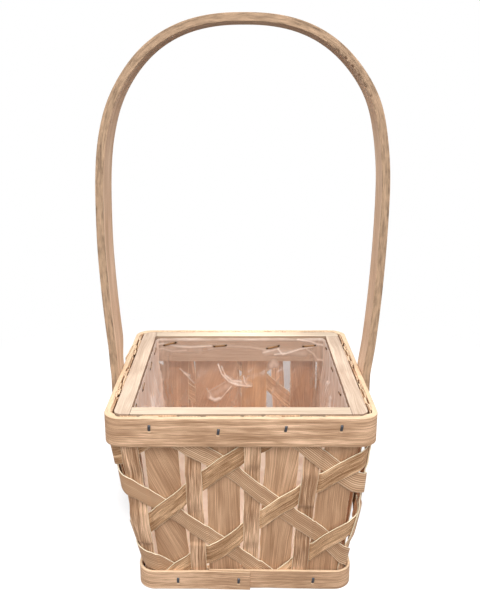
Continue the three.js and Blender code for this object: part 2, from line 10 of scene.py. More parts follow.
import bpy
import numpy as np
from mathutils import Euler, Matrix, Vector


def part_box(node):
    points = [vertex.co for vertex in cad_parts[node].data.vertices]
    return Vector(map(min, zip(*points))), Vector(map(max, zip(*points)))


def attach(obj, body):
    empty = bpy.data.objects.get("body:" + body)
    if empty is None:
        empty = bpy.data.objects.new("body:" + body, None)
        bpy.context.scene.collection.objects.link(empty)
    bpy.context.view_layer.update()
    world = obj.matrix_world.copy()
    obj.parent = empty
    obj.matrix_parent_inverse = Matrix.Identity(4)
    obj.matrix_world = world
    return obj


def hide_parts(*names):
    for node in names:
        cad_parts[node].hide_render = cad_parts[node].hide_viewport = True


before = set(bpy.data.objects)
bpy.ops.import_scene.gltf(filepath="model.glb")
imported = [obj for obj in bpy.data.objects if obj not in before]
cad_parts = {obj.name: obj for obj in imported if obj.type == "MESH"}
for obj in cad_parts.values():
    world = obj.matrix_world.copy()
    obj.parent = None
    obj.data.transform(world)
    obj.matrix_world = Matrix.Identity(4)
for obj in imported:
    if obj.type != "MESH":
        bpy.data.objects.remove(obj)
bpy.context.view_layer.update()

MM = 0.001


def reach(node, axis, end=1):
    """How far a CAD node reaches along an axis, in millimetres."""
    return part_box(node)[end][axis] / MM


# Whole basket, from the frame
X, Y, Z = range(3)
RIM_TOP = reach("rim_band", Z)
RIM_HALF = reach("rim_band", Y)
BASE_HALF = reach("base_band", Y)
BASE_SHIFT = (reach("base_board", X) + reach("base_board", X, 0)) / 2
BOARD_FOOT = reach("rim_board_back", Z, 0)
BOARD_INNER = reach("rim_board_back", Y, 0)
RIM_BAND_FOOT = reach("rim_band", Z, 0)
BASE_BAND_TOP = reach("base_band", Z)
HANDLE_HALF = reach("handle", X)
HANDLE_TOP = reach("handle", Z)
HANDLE_FOOT = reach("handle", Z, 0)
HANDLE_FRONT = reach("handle", Y, 0)
HANDLE_BACK = reach("handle", Y)

# Layers of the wall
GAP = 0.3
STRIP_THICK = 1.0
RIM_BAND_THICK = 2.4
BASE_BAND_THICK = 2.0
CORNER = 6.5
STACK = 3 * STRIP_THICK + 4 * GAP
SLAT_OUT = GAP + STRIP_THICK
UNDER_OUT = SLAT_OUT + GAP + STRIP_THICK
OVER_OUT = UNDER_OUT + GAP + STRIP_THICK
RIM_FACE = RIM_HALF - RIM_BAND_THICK - STACK
BASE_FACE = BASE_HALF - BASE_BAND_THICK - STACK
WALL_FOOT = BASE_BAND_TOP + 2 * GAP
WALL_HEAD = BOARD_FOOT

# Inside the rim: how much thicker the band is, and how far the free heads of the slats lean out
RIM_BAND_SPARE = 0.8
SLAT_SPLAY = 1.3
COVER_EASE = 0.12

# The weave. Places along a side are in slat pitches from its middle. The crossings of the
# diagonals drift from their even places, and on each side by their own share.
SIDES = 4
SIDE_SLATS = 4
SLAT_COUNT = SIDES * SIDE_SLATS
SLAT_RIM = np.array([-1.28, -0.28, 0.665, 1.6])
SLAT_BASE = np.array([-1.465, -0.419, 0.615, 1.62])
BACK_SIDE = 2
BACK_SLAT_RIM = np.array([-1.323, -0.289, 0.516, 1.37])
BACK_SLAT_BASE = np.array([-1.52, -0.264, 0.713, 1.75])
BACK_SLAT_WIDTHS = np.array([1, 1, 1.667, 1])
GOLD_SLAT, BROWN_SLAT = 9, 8
STAKE_RIM = np.array([-1.77, -0.77, 0.19, 1.15])
STAKE_BASE = np.array([-1.965, -0.955, 0.116, 1.129])
DRIFTS = np.array([[0.14, -0.05], [-0.086, 0.108], [-0.083, 0.006], [0.064, -0.057]])
SIDE_DRIFTS = np.array([1, -0.7, 0.8, -0.9])
SLAT_WIDTH = 22.8
STAKE_WIDTH = 11.3
DIAGONAL_WIDTH = 12.5
WEAVE_RISE = 31.4
FIRST_CROSSING = 7.6
WEAVE_MARGIN = 1.0
STAKE_EASE = 1.6
DIAGONAL_EASE = 0.3
CLIMBS = (-2, 7)
DIAGONALS = [(direction, strand) for direction in (1, -1) for strand in range(SLAT_COUNT // 2)]
STRIP_FOOT = 1.0
SLAT_HEAD = reach("wide_slat_01", Z)
STAKE_HEAD = reach("narrow_stake_02", Z)
DIAGONAL_HEAD = reach("rising_diagonal_1", Z)
CORNER_BULGE = 2.2
BULGE_SHARE = 0.45
SLAT_SEED, STAKE_SEED, DIAGONAL_SEED = 10, 40, 70

# How finely the pieces are built, and the radii of their worn edges
UPRIGHT_RINGS, DIAGONAL_RINGS, BAND_RINGS, HANDLE_RINGS = 120, 230, 420, 900
BEND_STEPS = 3
UPRIGHT_RADIUS, DIAGONAL_RADIUS, BAND_RADIUS, HANDLE_RADIUS = 0.25, 0.28, 0.5, 0.35

# Bands
LAP_LENGTH = 30.0
LAP_TIP_SHARE = 0.4
LAP_END_SHARE = 0.35
RIM_LAP_END = -22.0
BASE_LAP_END = 3.8

# Handle
HANDLE_THICK = 5.9
HANDLE_SHOULDER = 269.7
HANDLE_POWER = 2.47
TORN_RUN, TORN_LENGTH = 255, 28
# How dark the painted shade under the top of the handle's arch is
UNDERSIDE_PAINTED_SHADE = 0.34

# Wood: how far noise spreads the grain lines and their sway, and how dark streaks start
LINE_GAIN, SWAY_GAIN = 3, 6
STREAK_START, STREAK_FULL = 0.58, 0.74
BLOTCH_SCALE = (1 / 40, 1 / 11, 0.37)
PIECE_SCALE = (0.0005, 0.0, 0.031)
PIECE_VARIETY = 0.2
GRAIN_DEPTH = 0.16
# How much the upright faces of the boards are darkened: painted shade
SIDE_PAINTED_SHADE = (0.66, 0.60, 0.57)
# The tone that marks darken to: torn fibres, and painted shade under the handle's arch
MARK_AND_SHADE_TONE = (0.10, 0.05, 0.03)

# The liner. Its sides in order are the front, the right, the back and the left, and its haze is
# how milky each is and how much that varies. LINER_FLAT is the share of a side before its corners.
LINER_SIDE_STEPS = (140, 150, 280, 150)
LINER_FLOOR_RINGS = 14
LINER_RADIUS = 6.0
LINER_FLAT = 1 - 0.055
LINER_HAZE = ((0.98, 0.01), (0.64, 0.1), (0.22, 0.05), (0.74, 0.1))

# Eased edges of the pieces that keep their CAD shape
BOARD_EASE, NAIL_EASE = 0.6, 0.15

# The stage and the lamps, in metres. The patch of floor with a painted shadow widens backwards.
# A lamp is its name, place, size and watts.
STAGE_HALF = 3.0
WHITE = (1, 1, 1)
PAINTED_SHADOW_HALF, PAINTED_SHADOW_SPREAD = 0.05, 0.12
PAINTED_SHADOW_MIDDLE, PAINTED_SHADOW_REACH, PAINTED_SHADOW_EDGE = 0.24, 0.19, 0.075
PAINTED_SHADOW_LIFT, OPEN_LIGHT = 0.12, 0.86
FADE_MIDDLE, FADE_START, FADE_END = 0.1, 0.24, 0.5
WORLD_LIGHT = 0.2
LAMP_TARGET = (0, 0, 0.15)
LAMPS = (
    ("key", (0.1, -0.85, 1.35), 0.9, 14.5),
    ("right", (1.3, -0.25, 1.05), 0.9, 12),
    ("left", (-1.3, -0.25, 1.05), 0.9, 12),
    ("back", (0.0, 1.0, 1.3), 0.9, 9.5),
    ("front", (-0.15, -1.6, 1.0), 1.6, 15),
)


def smooth(t):
    t = np.clip(t, 0, 1)
    return t * t * (3 - 2 * t)


def lerp(a, b, t):
    return a + (b - a) * t


def wander(seed, x, length):
    """A smooth, repeatable waver between about -1 and 1, with swings about length mm long."""
    rng = np.random.default_rng(seed)
    total = 0
    for octave, weight in ((1, 0.6), (2.3, 0.3), (5.1, 0.15)):
        phase = rng.uniform(0, 2 * math.pi)
        stretch = rng.uniform(0.8, 1.2)
        total = total + weight * np.sin(2 * math.pi * x * octave * stretch / length + phase)
    return total


def stack(*parts):
    return np.stack(np.broadcast_arrays(*parts), -1)


# The wall's shape
def lean(z):
    """How far up the leaning part of the wall a height is, from 0 to 1."""
    return np.clip((z - WALL_FOOT) / (WALL_HEAD - WALL_FOOT), 0, 1)


def face_half(z):
    """Half the width of the wall's inner face."""
    return lerp(BASE_FACE, RIM_FACE, lean(z))


MEAN_FLAT = (RIM_FACE + BASE_FACE) / 2 - CORNER
FLAT = SIDE_SLATS / 2 * MEAN_FLAT / (MEAN_FLAT + CORNER * math.pi / 4)
BEND = SIDE_SLATS / 2 - FLAT
HALF_ARC = (CORNER + STACK / 2) * math.pi / 4


def pitch_length(share):
    """The length of one slat pitch, at a share of the way up."""
    return (lerp(BASE_FACE, RIM_FACE, share) - CORNER) / FLAT


HALF_HEIGHT = DIAGONAL_WIDTH / 2 / math.cos(math.atan(WEAVE_RISE / pitch_length(0.5)))


def turned(side, across, depth):
    """Turns a place on the front side to where it is on another side."""
    cos, sin = np.cos(side * math.pi / 2), np.sin(side * math.pi / 2)
    return across * cos - depth * sin, across * sin + depth * cos


def outline(column, half, out):
    """A point of the wall's plan. A column counts slat pitches anticlockwise from the front's middle."""
    side = np.round(column / SIDE_SLATS)
    along = column - side * SIDE_SLATS
    turn = np.maximum(0, np.abs(along) - FLAT) / BEND * math.pi / 4
    straight = np.minimum(np.abs(along), FLAT) / FLAT * (half - CORNER)
    across = np.sign(along) * (straight + (CORNER + out) * np.sin(turn))
    return turned(side, across, -(half - CORNER + (CORNER + out) * np.cos(turn)))


def wall_point(column, z, out):
    x, y = outline(column, face_half(z), out)
    return stack(x + BASE_SHIFT * (1 - lean(z)), y, z)


def length_at(column, z):
    """The length along the wall from the front's middle to a column."""
    side = np.round(column / SIDE_SLATS)
    along = column - side * SIDE_SLATS
    flat = face_half(z) - CORNER
    bent = np.maximum(0, np.abs(along) - FLAT) / BEND * HALF_ARC
    straight = np.minimum(np.abs(along), FLAT) / FLAT * flat
    return side * 2 * (flat + HALF_ARC) + np.sign(along) * (straight + bent)


def column_at(length, z):
    """The column at a length along the wall."""
    flat = face_half(z) - CORNER
    side_length = 2 * (flat + HALF_ARC)
    side = np.round(length / side_length)
    along = length - side * side_length
    straight = np.minimum(np.abs(along), flat) / flat * FLAT
    bent = np.maximum(0, np.abs(along) - flat) / HALF_ARC * BEND
    return side * SIDE_SLATS + np.sign(along) * (straight + bent)


def strip_column(rim, base, index, z):
    """The column of an upright strip at a height, from its places at the rim and at the base."""
    index = np.asarray(index, int)
    side = index // SIDE_SLATS
    place = index - side * SIDE_SLATS
    return side * SIDE_SLATS + lerp(base[place], rim[place], lean(z))


def slat_column(index, z):
    return strip_column(SLAT_RIM, SLAT_BASE, index, z)


def stake_column(index, z):
    return strip_column(STAKE_RIM, STAKE_BASE, index, z)


def weave_column(weave, z):
    """The column of a place in the weave, which counts stakes at whole numbers and slats between."""
    index = np.floor(weave).astype(int)
    part = weave - index
    slat = slat_column(index, z)
    before = lerp(stake_column(index, z), slat, 2 * part)
    after = lerp(slat, stake_column(index + 1, z), 2 * part - 1)
    return np.where(part < 0.5, before, after)


def bulge_at(column, z):
    """How far the woven strips stand off the wall at its corners."""
    corner = (np.round(column / SIDE_SLATS - 0.5) + 0.5) * SIDE_SLATS
    away = np.minimum(1, np.abs(column - corner) / BULGE_SHARE)
    return CORNER_BULGE * (1 - away**2) ** 2 * np.sin(math.pi * lean(z)) ** 2


def crossing_drift(slat, level):
    """How far the crossings at a slat sit above or below their even places, in levels."""
    slat = np.mod(slat, SLAT_COUNT)
    side = slat // SIDE_SLATS
    pair = level // 2
    known = (pair >= 0) & (pair < 2)
    return np.where(known, DRIFTS[slat - side * SIDE_SLATS, np.clip(pair, 0, 1)] * SIDE_DRIFTS[side], 0)


def climb_height(direction, strand, climb):
    """The height of a diagonal after it has climbed past some slats."""
    level = np.floor(climb).astype(int)
    slat = 2 * strand + direction * level
    low, high = crossing_drift(slat, level), crossing_drift(slat + direction, level + 1)
    return FIRST_CROSSING + WEAVE_RISE * (climb + lerp(low, high, smooth(climb - level)))


def climb_column(direction, strand, climb):
    """The column of a diagonal after it has climbed past some slats."""
    weave = 0.5 + 2 * strand + direction * climb
    return weave_column(weave, climb_height(direction, strand, climb))


def diagonal_out(direction, strand, climb):
    """How far a diagonal's outer face stands off: one level at the slats, the other at the stakes."""
    slat_climb = np.round(climb).astype(int)
    side = np.where(climb < slat_climb, -1, 1)
    slat = 2 * strand + direction * slat_climb
    stake = slat + (direction * side > 0)
    z = climb_height(direction, strand, slat_climb + side / 4)
    length = np.abs(length_at(stake_column(stake, z), z) - length_at(slat_column(slat, z), z))
    slat_zone = 0.5 * (HALF_HEIGHT / (WEAVE_RISE / 2) + WEAVE_MARGIN / length)
    stake_zone = 0.5 * (STAKE_WIDTH / 2 + WEAVE_MARGIN) / length
    spare = np.maximum(0, slat_zone + stake_zone - 0.5) / 2
    slat_zone, stake_zone = slat_zone - spare, stake_zone - spare
    ease = DIAGONAL_EASE * (0.5 - slat_zone - stake_zone)
    slat_zone, stake_zone = slat_zone - ease, stake_zone - ease
    part = (np.abs(climb - slat_climb) - slat_zone) / np.maximum(1e-6, 0.5 - slat_zone - stake_zone)
    at_slat, at_stake = (OVER_OUT, UNDER_OUT) if direction > 0 else (UNDER_OUT, OVER_OUT)
    return lerp(at_slat, at_stake, smooth(part))


def stake_knots(index):
    """Heights and levels of a stake: over the rising diagonals and under the falling ones."""
    crossings = []
    for direction, strand in DIAGONALS:
        steps = direction * (index - 0.5 - 2 * strand)
        climb = (steps + SLAT_COUNT / 2) % SLAT_COUNT - SLAT_COUNT / 2
        z = float(climb_height(direction, strand, np.float64(climb)))
        if -WEAVE_RISE < z < RIM_TOP + WEAVE_RISE:
            crossings.append((z, OVER_OUT if direction > 0 else UNDER_OUT))
    crossings.sort()
    heights, outs = [], []
    for (low, low_out), (high, high_out) in zip(crossings, crossings[1:]):
        middle = (low + high) / 2
        slope = WEAVE_RISE / pitch_length(lean(middle))
        zone = HALF_HEIGHT + slope * (STAKE_WIDTH / 2 + WEAVE_MARGIN)
        rest = STAKE_EASE * max(2 * GAP, (high - low) / 2 - zone)
        heights += [middle - rest, middle + rest]
        outs += [low_out, high_out]
    return np.array(heights), np.array(outs)


def stake_out(knots, z):
    heights, outs = knots
    above = np.clip(np.searchsorted(heights, z), 1, len(heights) - 1)
    part = (z - heights[above - 1]) / (heights[above] - heights[above - 1])
    return lerp(outs[above - 1], outs[above], smooth(part))


# Meshes
def ring(width_steps, radius_share_across, radius_share_deep, edge_steps=1):
    """A rounded oblong as (across from -1 to 1, depth from 0 to 1, edge from 0 to 1)."""
    r, d = radius_share_across, radius_share_deep
    quarter = np.linspace(0, math.pi / 2, BEND_STEPS + 1)
    half = [(a, 0.0, 0.0) for a in np.linspace(-1 + r, 1 - r, width_steps)]
    half += [(1 - r + r * math.sin(t), d - d * math.cos(t), 1.0) for t in quarter[1:]]
    half += [(1.0, depth, 1.0) for depth in np.linspace(d, 1 - d, edge_steps + 1)[1:-1]]
    half += [(1 - r + r * math.cos(t), 1 - d + d * math.sin(t), 1.0) for t in quarter[:-1]]
    points = half + [(-a, 1 - depth, edge) for a, depth, edge in half]
    return tuple(np.array(part) for part in zip(*points))


def link(name, data):
    thing = bpy.data.objects.new(name, data)
    bpy.context.scene.collection.objects.link(thing)
    return thing


def add_mesh(name, points, faces, layers):
    """An object from points in millimetres. layers are values or vectors for each point, which
    its material reads."""
    mesh = bpy.data.meshes.new(name)
    mesh.from_pydata((np.reshape(points, (-1, 3)) * MM).tolist(), [], faces)
    mesh.polygons.foreach_set("use_smooth", np.ones(len(mesh.polygons), bool))
    for label, values in layers.items():
        values = np.asarray(values, np.float32)
        vector = values.size == 3 * len(mesh.vertices)
        attribute = mesh.attributes.new(label, "FLOAT_VECTOR" if vector else "FLOAT", "POINT")
        attribute.data.foreach_set("vector" if vector else "value", values.ravel())
    mesh.validate()
    return link(name, mesh)


def skin(rings, places):
    """The four corners of each face between neighbouring rings."""
    a = np.arange((rings - 1) * places).reshape(rings - 1, places)
    b = np.roll(a, -1, axis=1)
    return np.stack([a, b, b + places, a + places], -1).reshape(-1, 4)


def loft(name, points, grain, edge, mark_and_shade=0.0):
    """A closed skin over rings of points, shaped [ring, place, 3], with its grain coordinates, how
    far each point belongs to a cut edge, and how dark a mark or painted shade it bears."""
    rings, places = points.shape[:2]
    caps = [list(range(places))[::-1], list(range((rings - 1) * places, rings * places))]
    piece = add_mesh(name, points, skin(rings, places).tolist() + caps, {
        "grain": grain, "edge": np.broadcast_to(edge, points.shape[:2]),
        "mark_and_shade": np.broadcast_to(mark_and_shade, points.shape[:2])})
    return outward(piece)


def grain_at(seed, along, side, deep):
    """Where a piece lies in the pattern of its wood: each seed has a part of its own."""
    return stack(along + 300 * seed, side, 7.3 * seed - deep)


def outward(piece):
    """Turns the faces outwards where the rings were given the other way round."""
    mesh = piece.data
    volume = sum(mesh.vertices[face.vertices[0]].co.dot(face.normal) * face.area for face in mesh.polygons)
    if volume < 0:
        mesh.flip_normals()
    return piece


def join(name, parts):
    bpy.ops.object.select_all(action="DESELECT")
    for part in parts:
        part.select_set(True)
    bpy.context.view_layer.objects.active = parts[0]
    bpy.ops.object.join()
    parts[0].name = name
    parts[0].data.name = name
    return parts[0]


def stand_in(piece, slot, material, *nodes):
    piece.data.materials.clear()
    piece.data.materials.append(material)
    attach(piece, "root")
    if nodes:
        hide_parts(*nodes)


# Materials
class Tree:
    """A short way to write a node tree."""

    def __init__(self, name, owners=None):
        self.owner = (bpy.data.materials if owners is None else owners).new(name)
        self.owner.use_nodes = True
        self.tree = self.owner.node_tree
        self.tree.nodes.clear()

    def give(self, socket, value):
        """Links or sets an input. A colour of three numbers is made opaque."""
        if isinstance(value, bpy.types.NodeSocket):
            self.tree.links.new(value, socket)
        elif socket.type == "RGBA":
            socket.default_value = (*value, 1.0)
        else:
            socket.default_value = value

    def node(self, kind, inputs=None, **settings):
        made = self.tree.nodes.new(kind)
        for key, value in settings.items():
            setattr(made, key, value)
        for key, value in (inputs or {}).items():
            self.give(made.inputs[key], value)
        return made

    def first(self, kind, inputs=None, **settings):
        """The first output of a new node."""
        return self.node(kind, inputs, **settings).outputs[0]

    def attribute(self, label, output="Fac"):
        return self.node("ShaderNodeAttribute", attribute_name=label).outputs[output]

    def place(self):
        return self.node("ShaderNodeTexCoord").outputs["Object"]

    def math(self, operation, a, b=0.0, c=0.0, clamp=False):
        return self.first("ShaderNodeMath", {0: a, 1: b, 2: c}, operation=operation, use_clamp=clamp)

    def plus(self, a, b, times):
        return self.math("ADD", a, self.math("MULTIPLY", b, times))

    def spread(self, value, low=0.0, high=1.0, to_low=0.0, to_high=1.0, kind="LINEAR"):
        """Maps a value from one range to another."""
        return self.first("ShaderNodeMapRange", {
            "Value": value, "From Min": low, "From Max": high, "To Min": to_low, "To Max": to_high},
            interpolation_type=kind)

    def scaled(self, vector, scale):
        return self.first("ShaderNodeVectorMath", {0: vector, 1: scale}, operation="MULTIPLY")

    def length(self, vector):
        return self.node("ShaderNodeVectorMath", {0: vector}, operation="LENGTH").outputs["Value"]

    def noise(self, vector, scale, detail=3.0, rough=0.55, distortion=0.0):
        return self.node("ShaderNodeTexNoise", {
            "Vector": self.scaled(vector, scale), "Scale": 1.0, "Detail": detail,
            "Roughness": rough, "Distortion": distortion}).outputs["Fac"]

    def waver(self, *noise):
        """Noise about zero."""
        return self.math("SUBTRACT", self.noise(*noise), 0.5)

    def ramp(self, value, stops):
        made = self.node("ShaderNodeValToRGB", {"Fac": value})
        elements = made.color_ramp.elements
        while len(elements) < len(stops):
            elements.new(0.5)
        for element, (place, colour) in zip(elements, stops):
            element.position, element.color = place, (*colour, 1.0)
        return made.outputs["Color"]

    def mix(self, share, a, b, blend="MIX"):
        made = self.node("ShaderNodeMix", data_type="RGBA", blend_type=blend)
        for key, value in ((0, share), (6, a), (7, b)):
            self.give(made.inputs[key], value)
        return made.outputs[2]

    def blend(self, share, a, b):
        return self.first("ShaderNodeMixShader", {0: share, 1: a, 2: b})

    def bump(self, height, distance, strength):
        return self.first("ShaderNodeBump", {"Height": height, "Distance": distance, "Strength": strength})

    def seen(self):
        """1 for the rays that show things: the camera's own, reflected or let through. 0 for the
        rays that gather light."""
        path = self.node("ShaderNodeLightPath").outputs
        shown = self.math("MAXIMUM", path["Is Camera Ray"], path["Is Glossy Ray"])
        return self.math("MAXIMUM", shown, path["Is Transmission Ray"])

    def finish(self, shader, kind="ShaderNodeOutputMaterial"):
        self.node(kind, {"Surface": shader})
        return self.owner


def wood(name, dark, light, edge_and_highlight_tone=(1, 1, 1), *, sway=(90, 16, 2.2), broad=(150, 3.0, 0.45),
         medium=(55, 0.9, 0.45), fine=(20, 0.28, 0.35), streak=(38, 0.55, 0.35), ribs=None,
         blotch=0.25, rough=0.72, gloss=0.16, edge_share=0.85, sawn=0.0, tear=5, order=None):
    """Sliced or sawn wood. broad, medium and fine are layers of grain lines: their length and
    width in mm, and their strength. streak is the same for dark streaks. sway bends all of them:
    its length, its width and how far, in mm. ribs are a planed strip's even lines: their pitch and
    strength. sawn is how rough a cut edge is, and tear how long its torn fibres are, in mm. order
    is for pieces that keep their CAD shape: their axes, with the one along the grain first; their
    upright faces get a painted shade."""
    t = Tree(name)
    if order:
        split = t.node("ShaderNodeSeparateXYZ", {0: t.scaled(t.place(), (1 / MM,) * 3)}).outputs
        place = t.first("ShaderNodeCombineXYZ", {i: split[axis] for i, axis in enumerate(order)})
    else:
        place = t.attribute("grain", "Vector")
    axes = t.node("ShaderNodeSeparateXYZ", {0: place}).outputs
    length, width, push = sway
    bend = t.waver(place, (1 / length, 1 / width, 0.3), 2.0, 0.5)
    across = t.plus(axes["Y"], bend, SWAY_GAIN * push)
    bent = t.first("ShaderNodeCombineXYZ", {0: axes["X"], 1: across, 2: axes["Z"]})
    tone, relief = 0.5, 0.5
    for (length, width, strength), detail in ((broad, 3.0), (medium, 3.0), (fine, 2.0)):
        lines = t.waver(bent, (1 / length, 1 / width, 0.6), detail)
        tone, relief = t.plus(tone, lines, LINE_GAIN * strength), t.plus(relief, lines, strength)
    length, width, strength = streak
    streaks = t.noise(bent, (1 / length, 1 / width, 0.8), 3.0, 0.6)
    streaks = t.spread(streaks, STREAK_START, STREAK_FULL)
    tone, relief = t.plus(tone, streaks, -strength), t.plus(relief, streaks, -0.3)
    tone = t.plus(tone, t.waver(place, BLOTCH_SCALE, 2.0, 0.5), LINE_GAIN * blotch)
    tone = t.plus(tone, t.waver(place, PIECE_SCALE, 1.0, 0.5), LINE_GAIN * PIECE_VARIETY)
    if ribs:
        pitch, strength = ribs
        strong = t.noise(bent, (1 / 90, 1 / (1.5 * pitch), 0.9), 2.0, 0.5)
        wave = t.math("SINE", t.math("MULTIPLY", across, 2 * math.pi / pitch))
        groove = t.math("MULTIPLY", t.math("ADD", wave, 0.4, clamp=True), strong)
        tone, relief = t.plus(tone, groove, -strength), t.plus(relief, groove, -0.5)
    middle = tuple((a * b) ** 0.5 for a, b in zip(dark, light))
    colour = t.ramp(tone, [(0.08, dark), (0.5, middle), (0.92, light)])
    if order:
        # Painted shade: the boards' upright faces are darker than their tops
        normal = t.node("ShaderNodeTexCoord").outputs["Normal"]
        painted_side_shade = t.spread(t.node("ShaderNodeSeparateXYZ", {0: normal}).outputs["Z"], 0.9, 0.4)
        colour = t.mix(painted_side_shade, colour, t.mix(1.0, colour, SIDE_PAINTED_SHADE, "MULTIPLY"))
    else:
        # Cut edges take the edge tone: on the strips a pale tone that is partly a painted highlight
        edge = t.attribute("edge")
        fuzz = t.noise(place, (1 / tear, 1 / 0.8, 1 / 0.7), 4.0, 0.65)
        patches = t.noise(place, (1 / 14, 1 / 3, 1 / 2.5), 3.0, 0.6)
        cut = t.plus(t.math("MULTIPLY", fuzz, 0.55), patches, 0.45)
        low = tuple((0.62 - 0.36 * sawn) * c for c in edge_and_highlight_tone)
        high = tuple(min(1.0, (1 + sawn) * c) for c in edge_and_highlight_tone)
        stops = [(0.3 + 0.16 * sawn, low), (0.5, edge_and_highlight_tone), (0.7 - 0.16 * sawn, high)]
        colour = t.mix(t.math("MULTIPLY", edge, edge_share), colour, t.ramp(cut, stops))
        # Darker where marked: torn fibres, and painted shade under the handle's arch
        colour = t.mix(t.attribute("mark_and_shade"), colour, MARK_AND_SHADE_TONE)
        relief = t.plus(relief, t.math("MULTIPLY", cut, edge), 2.5 * sawn)
    return t.finish(t.first("ShaderNodeBsdfPrincipled", {
        "Base Color": colour, "Roughness": t.spread(streaks, 0, 1, rough - 0.06, rough + 0.12),
        "Normal": t.bump(relief, GRAIN_DEPTH * MM, 0.8), "Specular IOR Level": gloss}))


def steel(name, tone, rough):
    """Scratched steel, dull in spots, and dark where a wire is marked: painted shade at the ends of the liner
    staples.
    """
    t = Tree(name)
    scratches = t.noise(t.place(), (2600, 2600, 900), 3.0, 0.6)
    spots = t.noise(t.place(), (420, 420, 420), 2.0, 0.5)
    colour = t.ramp(spots, [(0.4, tone), (0.75, tuple(0.6 * c for c in tone))])
    # Painted shade at the liner staples' ends, where the mark attribute is set
    colour = t.mix(t.attribute("mark_and_shade"), colour, tuple(0.16 * c for c in tone))
    return t.finish(t.first("ShaderNodeBsdfPrincipled", {
        "Base Color": colour, "Roughness": t.spread(scratches, 0, 1, rough - 0.1, rough + 0.2),
        "Metallic": 1.0, "Normal": t.bump(scratches, 0.02 * MM, 0.6)}))


def film(name):
    """Thin clear film: glossy and see-through, with a milky haze where it is creased or doubled."""
    t = Tree(name)
    place, haze, bounce_tint = t.place(), t.attribute("haze"), t.attribute("bounce_tint")
    wrinkles = t.noise(place, (70, 70, 90), 4.0, 0.55, 0.6)
    height = t.plus(wrinkles, t.noise(place, (300, 300, 220), 3.0, 0.6, 1.2), 0.12)
    clear = t.first("ShaderNodeBsdfTransparent", {"Color": (0.98, 0.965, 0.975)})
    gloss = t.first("ShaderNodeBsdfGlossy", {
        "Color": (1, 1, 1), "Roughness": t.spread(haze, 0, 1, 0.16, 0.6),
        "Normal": t.bump(height, 0.9 * MM, 0.25)})
    # Painted bounce light: the milk takes a warm tint of the light bounced off the wood, strongest on the
    # front wall and palest on creases
    tone = t.ramp(bounce_tint, [(0.0, (0.96, 0.85, 0.77)), (0.5, (0.96, 0.76, 0.63)), (1.0, (1.0, 0.87, 0.74))])
    front = t.first("ShaderNodeBsdfDiffuse", {"Color": tone})
    through = t.first("ShaderNodeBsdfTranslucent", {"Color": tone})
    milk = t.blend(t.spread(bounce_tint, 0.5, 1, 0.3, 0.65), front, through)
    cloud = t.spread(wrinkles, 0.3, 0.7, 0.93, 1.07)
    body = t.blend(t.math("MULTIPLY", haze, cloud, clamp=True), clear, milk)
    slant = t.math("POWER", t.node("ShaderNodeLayerWeight", {"Blend": 0.5}).outputs["Facing"], 5.0)
    return t.finish(t.blend(t.spread(slant, 0, 1, 0.06, 1), body, gloss))


# Their first two colours are the darkest and the lightest grain, and the third is the cut edge,
# which on the strips is pale partly as a painted highlight
SLAT_LOOK = dict(edge_and_highlight_tone=(1.0, 0.84, 0.60), sway=(110, 12, 0.5), broad=(260, 3.2, 0.12),
                 medium=(120, 0.55, 0.3), fine=(30, 0.2, 0.45), streak=(30, 0.26, 0.45), blotch=0.26)
SLAT_WOOD = wood("slat_veneer", (0.31, 0.16, 0.082), (0.85, 0.55, 0.35), **SLAT_LOOK)
GOLD_SLAT_WOOD = wood("golden_slat_veneer", (0.31, 0.15, 0.062), (0.80, 0.50, 0.26), **SLAT_LOOK)
BROWN_SLAT_WOOD = wood("brown_slat_veneer", (0.215, 0.10, 0.046), (0.59, 0.33, 0.175), **SLAT_LOOK)
STAKE_WOOD = wood("stake_veneer", (0.27, 0.138, 0.07), (1.0, 0.68, 0.455), (1.0, 0.86, 0.62),
                  sway=(60, 9, 0.5), broad=(50, 1.6, 0.3), medium=(26, 0.5, 0.5), fine=(12, 0.18, 0.55),
                  streak=(16, 0.3, 0.6), blotch=0.36)
RISING_WOOD = wood("rising_veneer", (0.26, 0.13, 0.06), (1.0, 0.675, 0.42), (1.0, 0.90, 0.66),
                   sway=(70, 12, 0.4), broad=(90, 2.4, 0.3), medium=(30, 0.36, 0.42), fine=(10, 0.16, 0.65),
                   streak=(9, 0.24, 0.9), blotch=0.34)
FALLING_WOOD = wood("falling_veneer", (0.42, 0.235, 0.13), (1.0, 0.75, 0.52), (1.0, 0.90, 0.68),
                    sway=(200, 30, 0.2), broad=(260, 2.6, 0.15), medium=(160, 0.6, 0.25),
                    fine=(40, 0.22, 0.3), streak=(60, 0.35, 0.2), ribs=(1.3, 1.1), blotch=0.3)
BAND_WOOD = wood("band_veneer", (0.33, 0.185, 0.102), (0.92, 0.625, 0.42), (0.80, 0.59, 0.39),
                 sway=(70, 8, 0.75), broad=(110, 2.2, 0.28), medium=(34, 0.5, 0.38), fine=(13, 0.19, 0.55),
                 streak=(15, 0.26, 0.9), blotch=0.34)
HANDLE_WOOD = wood("bent_handle_wood", (0.56, 0.36, 0.235), (0.96, 0.74, 0.57), (0.43, 0.29, 0.19),
                   sway=(160, 18, 1.0), broad=(200, 2.6, 0.3), medium=(90, 0.8, 0.4), fine=(30, 0.25, 0.3),
                   streak=(40, 0.5, 0.3), sawn=0.36, tear=10, gloss=0.02, rough=0.85, edge_share=1.0)
CREAM_X = wood("board_wood_front_back", (0.48, 0.36, 0.26), (0.77, 0.65, 0.505),
               sway=(90, 12, 0.9), broad=(120, 3.0, 0.25), medium=(50, 0.8, 0.35), fine=(20, 0.28, 0.3),
               streak=(16, 0.4, 0.4), blotch=0.2, order="XYZ")
